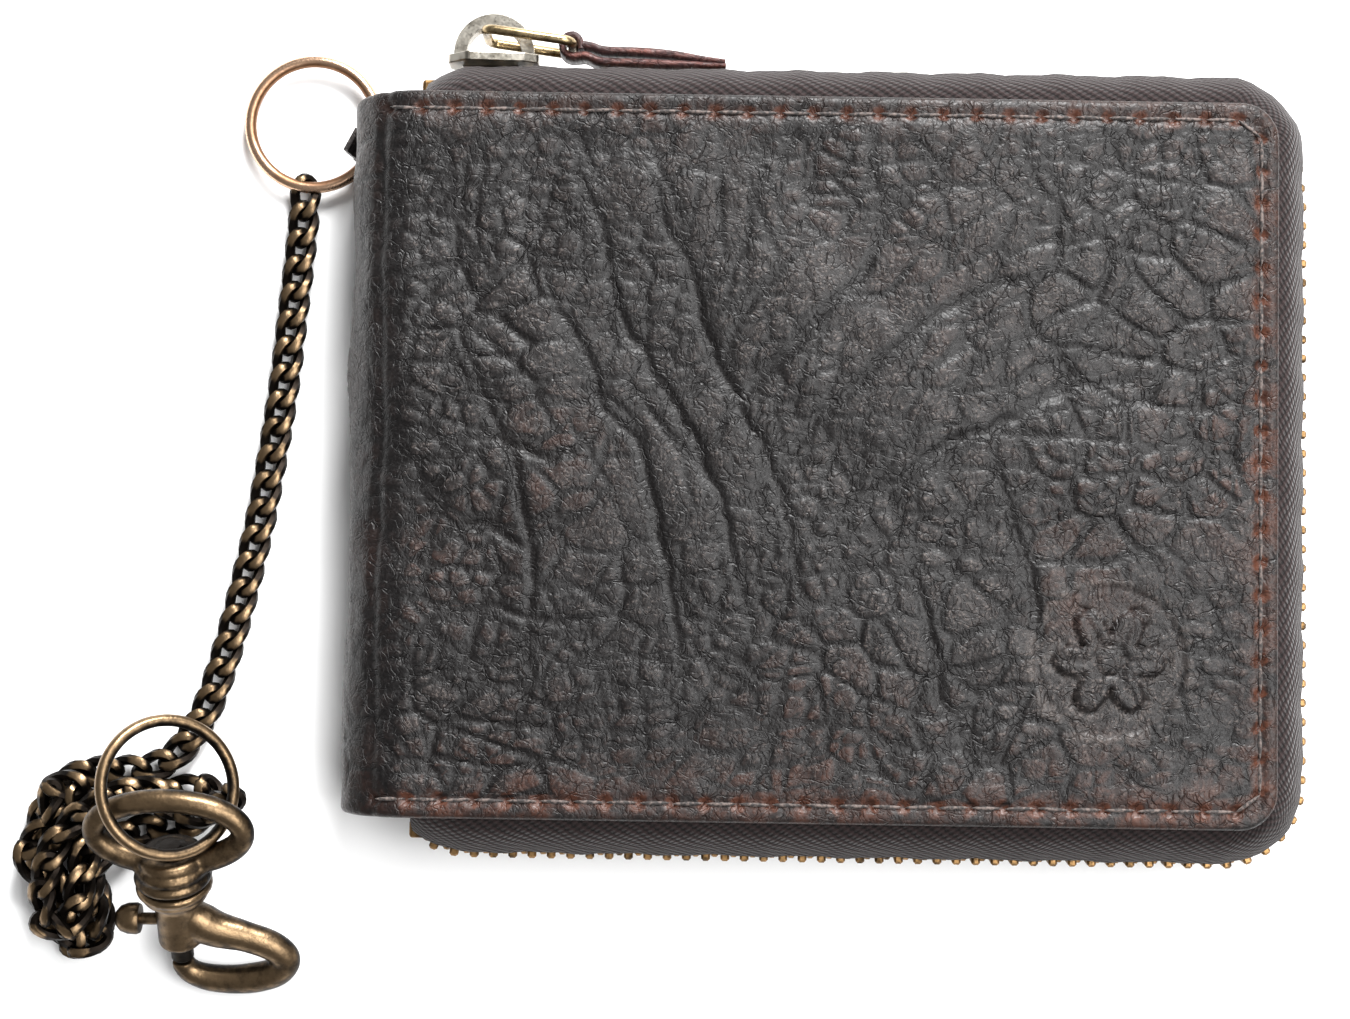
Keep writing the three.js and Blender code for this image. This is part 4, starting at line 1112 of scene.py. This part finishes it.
def round_wire(name, place, radius, wire, material, body, stands_for, gap=0.0):
    """A ring of round wire from a torus primitive; a gap shows where its two ends meet."""
    deselect()
    bpy.ops.mesh.primitive_torus_add(major_radius=radius * MM, minor_radius=wire / 2 * MM,
                                     major_segments=96, minor_segments=20)
    ring = bpy.context.object
    ring.name = name
    points = corners(ring)
    flat = np.abs(points[:, 2]) / (wire / 2)
    out = (np.hypot(points[:, 0], points[:, 1]) - radius) / (wire / 2)
    wear = np.clip(0.45 + 0.4 * out + 0.3 * flat, 0, 1)
    if gap:
        angle = np.arctan2(points[:, 1], points[:, 0])
        away = np.abs((angle - gap + np.pi) % (2 * np.pi) - np.pi) * radius
        pinch = 1 - 0.16 * np.exp(-(away / 0.16) ** 2)
        middle = np.column_stack([np.cos(angle), np.sin(angle), 0 * angle]) * radius
        points = middle + (points - middle) * pinch[:, None]
    turn = np.array(place)
    points = points @ turn[:3, :3].T + turn[:3, 3]
    ring.data.vertices.foreach_set("co", (points * MM).ravel())
    ring.data.update()
    with_values(ring, "wear", wear)
    activate(ring)
    bpy.ops.object.shade_smooth()
    return dressed(ring, material, body, stands_for)


class WALLET_OT_rings(Make):
    """Makes the wallet's copper ring and the antique ring on the chain's far end"""

    bl_idname = "wallet.rings"
    bl_label = "Rings"

    def make(self, scene):
        copper = finish_of("copper_plated_steel_wire", worn_metal, "#7c5a41", "#d3b094", 0.22, grime=4.0)
        round_wire("wallet_split_ring", Matrix.Translation(WALLET_RING), RING_RADIUS, 1.6, copper,
                   "wallet_ring", ("wallet_ring",), gap=math.radians(-125))
        turn = Vector((0, 0, 1)).rotation_difference(Vector(LOWER_RING_NORMAL).normalized())
        place = Matrix.Translation(LOWER_RING) @ turn.to_matrix().to_4x4()
        round_wire("chain_end_ring", place, RING_RADIUS, 1.6, antique_brass(), "back_half",
                   ("lower_ring",), gap=math.radians(100))


def wear_and_top_light(piece, low, high, base=0.25):
    """Marks the parts that rub, with painted light on top: parts that face up and parts that stand high are
    made brighter.
    """
    normals = np.empty(len(piece.data.vertices) * 3)
    piece.data.vertices.foreach_get("normal", normals)
    normals = normals.reshape(-1, 3)
    z = corners(piece)[:, 2]
    # Painted light from above on top of the rubbed wear: upward normals and height raise the bright-metal
    # mask.
    wear = base + 0.45 * np.clip(normals[:, 2], 0, 1) ** 2 + 0.3 * np.clip((z - low) / (high - low), 0, 1)
    with_values(piece, "wear", np.clip(wear, 0, 1))


class WALLET_OT_snap(Make):
    """Makes the swivel snap: eye, collar, barrel with its hook, bolt and thumb knob"""

    bl_idname = "wallet.snap"
    bl_label = "Swivel snap"

    def make(self, scene):
        brass = antique_brass()
        around = np.linspace(0, 2 * np.pi, 72, endpoint=False)
        oval = np.column_stack([9.6 * np.cos(around), 7.7 + 4.9 * np.sin(around), 0 * around])
        thick = 1.55 + 0.28 * np.clip(-np.sin(around), 0, 1)
        cloud, faces = rod(oval, thick, 18, closed=True)
        eye = shaped("eye_loop", cloud, faces, SNAP_PLACE)
        boss = turned("eye_boss", [(0, 0.12), (4.6, 0.12), (5.05, 0.4), (5.1, 1.0), (4.9, 1.35), (4.5, 1.55),
                                   (4.5, 1.75), (4.85, 2.0), (4.9, 2.6), (4.6, 2.95), (4.25, 3.05),
                                   (4.2, 3.25), (4.35, 3.5), (4.1, 4.2), (3.3, 4.6), (0, 4.7)], SNAP_PLACE)
        eye = joined("swivel_eye_loop", eye, boss)
        applied(eye, "REMESH", mode="VOXEL", voxel_size=0.26 * MM)
        applied(eye, "SMOOTH", factor=0.5, iterations=3)
        activate(eye)
        bpy.ops.object.shade_smooth()
        wear_and_top_light(eye, 12, 20)
        dressed(eye, brass, "back_half", ("swivel_eye",))

        barrel = turned("barrel", [(0, -0.12), (4.5, -0.12), (5.0, -0.45), (5.0, -1.2), (4.5, -1.55),
                                   (4.35, -1.8), (4.45, -2.2), (4.0, -2.7), (3.3, -3.1), (2.95, -3.9),
                                   (2.85, -7.0), (2.9, -10.1), (2.6, -10.5), (0, -10.5)], SNAP_PLACE)
        path = smooth_line([(0.9, -4.2, 0), (2.0, -6.4, 0), (4.6, -8.3, 0), (8.6, -9.6, 0), (12.1, -11.2, 0),
                            (13.7, -13.4, 0), (12.2, -15.7, 0), (8.2, -16.9, 0), (4.0, -16.9, 0),
                            (1.3, -16.0, 0), (0.15, -14.7, 0), (0, -13.75, 0)], 0.4)
        share = np.linspace(0, 1, len(path))
        thick = np.interp(share, (0, 0.12, 0.3, 0.5, 0.68, 0.85, 1), (2.2, 2.7, 2.1, 2.0, 2.1, 1.9, 1.5))
        cloud, faces = rod(path, thick, 20, squash=0.92)
        hook = shaped("hook", cloud, faces, SNAP_PLACE)
        bore = turned("bore", [(0, -9.0), (1.95, -9.0), (1.95, -11.4), (0, -11.4)], SNAP_PLACE)
        body = joined("snap_barrel_and_hook", barrel, hook)
        applied(body, "REMESH", mode="VOXEL", voxel_size=0.24 * MM)
        applied(body, "SMOOTH", factor=0.5, iterations=5)
        applied(body, "BOOLEAN", operation="DIFFERENCE", object=bore, solver="EXACT")
        bpy.data.objects.remove(bore)
        settled(body)
        activate(body)
        bpy.ops.object.shade_smooth_by_angle(angle=math.radians(50))
        wear_and_top_light(body, 0, 12, 0.3)
        dressed(body, brass, "snap", ("snap_body",))

        bolt = turned("spring_bolt", [(0, -13.35), (1.2, -13.35), (1.5, -13.0), (1.5, -9.8), (1.55, -9.6),
                                      (1.55, -5.6), (0, -5.6)], SNAP_PLACE)
        dark = finish_of("blackened_brass", worn_metal, "#1d1a17", "#5d5142", 0.34)
        wear_and_top_light(bolt, 0, 12, 0.15)
        dressed(bolt, dark, "snap_bolt", ("snap_bolt",))
        lie = Matrix.Translation((0, -6.8, 0)) @ Matrix.Rotation(math.radians(90), 4, "Z")
        knob = turned("thumb_piece", [
            (0, 1.85), (0.8, 1.85), (0.8, 4.9), (1.9, 5.05), (2.1, 5.5), (2.05, 6.6),
            (1.7, 7.6), (0.9, 8.25), (0, 8.4),
        ], SNAP_PLACE @ lie)
        wear_and_top_light(knob, 0, 12, 0.3)
        dressed(knob, brass, "snap_bolt", ("thumb_knob",))
        dressed(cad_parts["swivel_stud"], brass)
        turns = np.linspace(0, 3.5 * 2 * np.pi, 90)
        coil = np.column_stack([1.2 * np.cos(turns), -1.95 - 2.9 * turns / turns[-1], 1.2 * np.sin(turns)])
        cloud, faces = rod(coil, 0.22, 8, up=(0, 1, 0))
        spring = shaped("bolt_coil_spring", cloud, faces, SNAP_PLACE)
        steel = finish_of("drawn_spring_steel", plain_metal, "#8d8a85", "#5d5751", 0.3)
        dressed(spring, steel, "snap", ("bolt_spring",))
        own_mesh(spring)
        values = list(scene["chain_path"])
        path = [tuple(values[i:i + 3]) for i in range(0, len(values), 3)]
        del scene["chain_path"]


class WALLET_OT_leather(Make):
    """Makes the leather covers and the spine, with their stitching"""

    bl_idname = "wallet.leather"
    bl_label = "Leather"

    def make(self, scene):
        pitch = settings().grain_pitch
        front, at = leather_sheet("front_and_spine_leather", pitch, True)
        rear, _ = leather_sheet("rear_leather", 1.1, False)
        front.data.materials.append(cover_leather())
        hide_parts("front_cover", "spine_wrap")
        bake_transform(front)
        dressed(rear, cover_leather(), "back_half", ("rear_cover",))
        self.sew(at)

    def sew(self, at):
        """Runs the stitches along their line, each sunk between its two holes."""
        thread = settings().thread / MM
        holes = stitch_holes()
        deselect()
        bpy.ops.mesh.primitive_uv_sphere_add(segments=8, ring_count=8, radius=1)
        stitch = bpy.context.object
        points = corners(stitch) * MM
        points[:, 2] -= 0.5 * points[:, 0] ** 2
        points *= (STITCH_PITCH * 0.47, thread / 2, thread / 2)
        stitch.data.vertices.foreach_set("co", (points * MM).ravel())
        places = []
        rng = np.random.default_rng(8)
        for (ax, ay, _), (bx, by, _) in zip(holes[:-1], holes[1:]):
            x, y = (ax + bx) / 2, (ay + by) / 2
            spot, out = at(x, y, 0.10 + rng.normal(0, 0.03))
            way = Vector((bx - ax, by - ay + rng.normal(0, 0.12), 0))
            places.append(placed(spot, way, out))
        seam = copies("front_stitching", stitch, places)
        waxed = finish_of("waxed_polyester_thread", sewing_thread, "#1d1715", "#5b4f4a")
        dressed(seam, waxed, "front_half")


class WALLET_OT_zip(Make):
    """Makes the zip tapes and the two rows of teeth"""

    bl_idname = "wallet.zip"
    bl_label = "Zip tapes and teeth"

    def make(self, scene):
        cloth = zip_tape_cloth()
        brass = finish_of("die_cast_zip_brass", plain_metal, "#8a6c47", "#3a2d1e", 0.34, 1.2)
        for side, sign, body, offset in (
            ("rear", -1, "back_half", TOOTH_PITCH / 2),
            ("front", 1, "front_half", 0.0),
        ):
            tape = tape_piece(side + "_woven_tape", sign)
            dressed(tape, cloth, body, (side + "_zip_tape",))
            teeth = tooth_row(side + "_tooth_row", sign, offset)
            stops = (side + "_top_stop",) if side == "front" else (side + "_top_stop", "bottom_stop")
            dressed(teeth, brass, body, (side + "_zip_teeth", *stops))


def loop_path(length, width, bend, arc=6):
    """A rounded rectangle of wire in X and Z, its near end at the origin."""
    half = width / 2 - bend
    line = []
    for x, z, start in (
        (length - bend, half, 90), (length - bend, -half, 0), (bend, -half, -90), (bend, half, -180),
    ):
        for k in range(arc + 1):
            a = math.radians(start - 90 * k / arc)
            line.append((x + bend * math.cos(a), 0, z + bend * math.sin(a)))
    return line


def ribbon(name, line, thick, width, place, soft=0.25):
    """A strip of leather along a line in X and Y, its width along Z, with softened edges."""
    line = smooth_line([(x, y, 0) for x, y in line], 0.4)[:, :2]
    run = np.gradient(line, axis=0)
    run /= np.linalg.norm(run, axis=1)[:, None]
    side = np.column_stack([-run[:, 1], run[:, 0]])
    thick = np.interp(np.linspace(0, 1, len(line)), np.linspace(0, 1, len(thick)), thick)
    width = np.interp(np.linspace(0, 1, len(line)), np.linspace(0, 1, len(width)), width)
    cloud = []
    for p, n, t, w in zip(line, side, thick, width):
        s = min(soft, t * 0.4)
        for a, b in ((1, w / 2 - s), (1 - 2 * s / t, w / 2), (-1 + 2 * s / t, w / 2), (-1, w / 2 - s),
                     (-1, -w / 2 + s), (-1 + 2 * s / t, -w / 2), (1 - 2 * s / t, -w / 2), (1, -w / 2 + s)):
            q = p + n * a * t / 2
            cloud.append((q[0], q[1], b))
    faces = [(i * 8 + k, i * 8 + (k + 1) % 8, (i + 1) * 8 + (k + 1) % 8, (i + 1) * 8 + k)
             for i in range(len(line) - 1) for k in range(8)]
    faces.append(tuple(range(8)))
    faces.append(tuple((len(line) - 1) * 8 + k for k in reversed(range(8))))
    piece = shaped(name, cloud, faces, place, angle=50)
    along = np.repeat(np.arange(len(line)) * 0.4, 8)
    across = np.tile(np.arange(8) * 0.6, len(line))
    pairs = np.column_stack([along, across])
    with_map(piece, pairs)
    with_values(piece, "crease", np.zeros(len(cloud)))
    with_values(piece, "rubbed", np.tile([0.2, 0.9, 0.9, 0.2, 0.2, 0.9, 0.9, 0.2], len(line)))
    return piece


class WALLET_OT_slider(Make):
    """Makes the zip slider with its crown, the pull ring and the leather pull"""

    bl_idname = "wallet.slider"
    bl_label = "Slider and pull"

    def make(self, scene):
        nickel = finish_of("polished_nickel_plate", plain_metal, "#aaa59b", "#655f55", 0.26, 3.0)
        for name, bevel in (("slider_body", 0.3), ("slider_crown", 0.45)):
            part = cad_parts[name]
            weld = part.modifiers.new("Weld", "WELD")
            weld.merge_threshold = 1e-6
            edge = part.modifiers.new("Bevel", "BEVEL")
            edge.width = bevel * MM
            edge.segments = 3
            edge.limit_method = "ANGLE"
            edge.angle_limit = math.radians(35)
            dressed(part, nickel)
        brass = finish_of("pale_brass_plate", plain_metal, "#a89471", "#5f523b", 0.24, 2.5)
        slope = math.radians(PULL_SLOPE)
        place = Matrix.Translation(PULL_AT) @ Matrix.Rotation(slope, 4, "Z")
        line = loop_path(PULL_LENGTH, 7.8, 1.4)
        cloud, faces = rod(line, PULL_WIRE / 2, 14, closed=True, up=(0, 1, 0))
        ring = shaped("pull_wire_ring", cloud, faces, place)
        dressed(ring, brass, "pull_ring", ("pull_ring",))

        hold = (PULL_AT[0] + PULL_LENGTH * math.cos(slope), PULL_AT[1] + PULL_LENGTH * math.sin(slope), MID_Z)
        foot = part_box("leather_pull")[0][1] / MM - hold[1]
        base = Matrix.Translation(hold)
        wide = (4.4, 4.4, 4.6, 4.6, 4.2, 3.2)
        upper = [(1.15, -0.5), (0.95, 0.75), (0.1, 1.4), (-0.95, 1.05), (-1.4, 0.1), (-1.0, -1.0),
                 (0.1, -1.45), (1.8, -1.3), (4.0, foot + 0.6), (9, foot + 0.5), (15, foot + 0.42),
                 (20.4, foot + 0.38)]
        lower = [(1.35, 0.1), (2.6, -0.1), (4.4, foot + 2.1), (9, foot + 2.0), (13, foot + 1.75),
                 (17, foot + 1.25), (20.3, foot + 0.95)]
        hide = finish_of("dark_bridle_leather", full_grain_leather, "#2a1a1a", "#4a3030", "#6b4038")
        a = ribbon("pull_strap_under", upper, (0.85, 0.85, 0.85, 0.8, 0.6), wide, base)
        b = ribbon("pull_strap_over", lower, (0.9, 0.9, 0.95, 0.8, 0.5), wide[2:], base)
        strap = joined("leather_zip_pull", a, b)
        dressed(strap, hide, "leather_pull", ("leather_pull",))

        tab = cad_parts["ring_tab"]
        tab_leather = finish_of("cut_leather_strip", full_grain_leather, "#2b2625", "#4a4442", "#4d2c26", "")
        dressed(tab, tab_leather)


class WALLET_OT_inside(Make):
    """Gives the boards, linings, pockets and card slots their finishes, and lines the spine"""

    bl_idname = "wallet.inside"
    bl_label = "Inside"

    def make(self, scene):
        cloth = finish_of("woven_polyester_lining", lining_cloth, "#171414", "#3a3433")
        hide = finish_of("smooth_split_leather", full_grain_leather, "#1c1716", "#322a28", "#46302a", "")
        card = finish_of("bonded_fibre_board", lining_cloth, "#6d5a42", "#9c8566", 0.9)
        for name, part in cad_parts.items():
            if name in ("front_board", "rear_board"):
                dressed(part, card)
            elif name in ("front_lining", "rear_lining", "bill_pocket", "coin_pocket"):
                dressed(part, cloth)
            elif name.startswith("card_slot"):
                dressed(part, hide)
        angle = np.linspace(1.5 * math.pi, 0.5 * math.pi, 40)
        y = np.linspace(-EDGE_Y + 1, EDGE_Y - 1, 12)
        cloud, count = [], len(angle)
        for inset in (2.8, 3.5):
            for yy in y:
                for a in angle:
                    cloud.append((FLAT_X + (SPINE_DEPTH - inset) * math.cos(a), yy,
                                  MID_Z + (MID_Z - inset) * math.sin(a)))
        layer = count * len(y)
        faces = []
        for k in range(len(y) - 1):
            for i in range(count - 1):
                q = (k * count + i, k * count + i + 1, (k + 1) * count + i + 1, (k + 1) * count + i)
                faces.append(q)
                faces.append(tuple(v + layer for v in reversed(q)))
        rim = [(0, i) for i in range(count)] + [(k, count - 1) for k in range(1, len(y))]
        rim += [(len(y) - 1, i) for i in range(count - 2, -1, -1)]
        rim += [(k, 0) for k in range(len(y) - 2, 0, -1)]
        rim = [k * count + i for k, i in rim]
        faces += [(a, a + layer, b + layer, b) for a, b in zip(rim, rim[1:] + rim[:1])]
        liner = shaped("spine_cloth", cloud, faces)
        liner.data.materials.append(cloth)
        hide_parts("spine_lining")
        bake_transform(liner)


class WALLET_OT_stage(Make):
    """Lays a white card floor and sets soft studio light"""

    bl_idname = "wallet.stage"
    bl_label = "Floor and light"

    def make(self, scene):
        bpy.ops.mesh.primitive_plane_add(size=3.0, location=(0, 0, -0.0002))
        floor = bpy.context.object
        floor.name = "floor"
        floor.data.materials.append(floor_board())
        world = bpy.data.worlds.new("soft_room")
        world.use_nodes = True
        background = world.node_tree.nodes["Background"]
        background.inputs["Color"].default_value = (1, 1, 1, 1)
        background.inputs["Strength"].default_value = ROOM_LIGHT
        scene.world = world
        scene.view_settings.view_transform = "Standard"
        for name, place, size, power in (
            ("key_softbox", (0.12, 0.48, 0.42), 0.24, 11.5),
            ("fill_softbox", (0.36, -0.24, 0.70), 0.60, 4.0),
            ("top_softbox", (0.46, 0.04, 0.85), 0.46, 6.5),
        ):
            data = bpy.data.lights.new(name, "AREA")
            data.size = size
            data.energy = power
            lamp = bpy.data.objects.new(name, data)
            scene.collection.objects.link(lamp)
            lamp.location = place
            aim = LIGHT_AIM - Vector(place)
            lamp.rotation_euler = aim.to_track_quat("-Z", "Y").to_euler()


ORDER = (WALLET_OT_camera, WALLET_OT_chain, WALLET_OT_rings, WALLET_OT_snap, WALLET_OT_leather, WALLET_OT_zip,
         WALLET_OT_slider, WALLET_OT_inside, WALLET_OT_stage)


class WALLET_PT_panel(bpy.types.Panel):
    """Lists the wallet's pieces in the sidebar"""

    bl_label = "Chain wallet"
    bl_idname = "WALLET_PT_panel"
    bl_space_type = "VIEW_3D"
    bl_region_type = "UI"
    bl_category = "Wallet"

    def draw(self, context):
        sizes = context.scene.wallet_sizes
        for name in sizes.bl_rna.properties.keys():
            if name not in ("rna_type", "name"):
                self.layout.prop(sizes, name)
        for step in ORDER:
            self.layout.operator(step.bl_idname)


CLASSES = (WALLET_PG_sizes, *ORDER, WALLET_PT_panel)


def register():
    for kind in CLASSES:
        bpy.utils.register_class(kind)
    bpy.types.Scene.wallet_sizes = bpy.props.PointerProperty(type=WALLET_PG_sizes)


def unregister():
    del bpy.types.Scene.wallet_sizes
    for kind in reversed(CLASSES):
        bpy.utils.unregister_class(kind)


def main():
    register()
    for step in ORDER:
        getattr(bpy.ops.wallet, step.bl_idname.split(".")[1])()


if __name__ == "__main__":
    main()
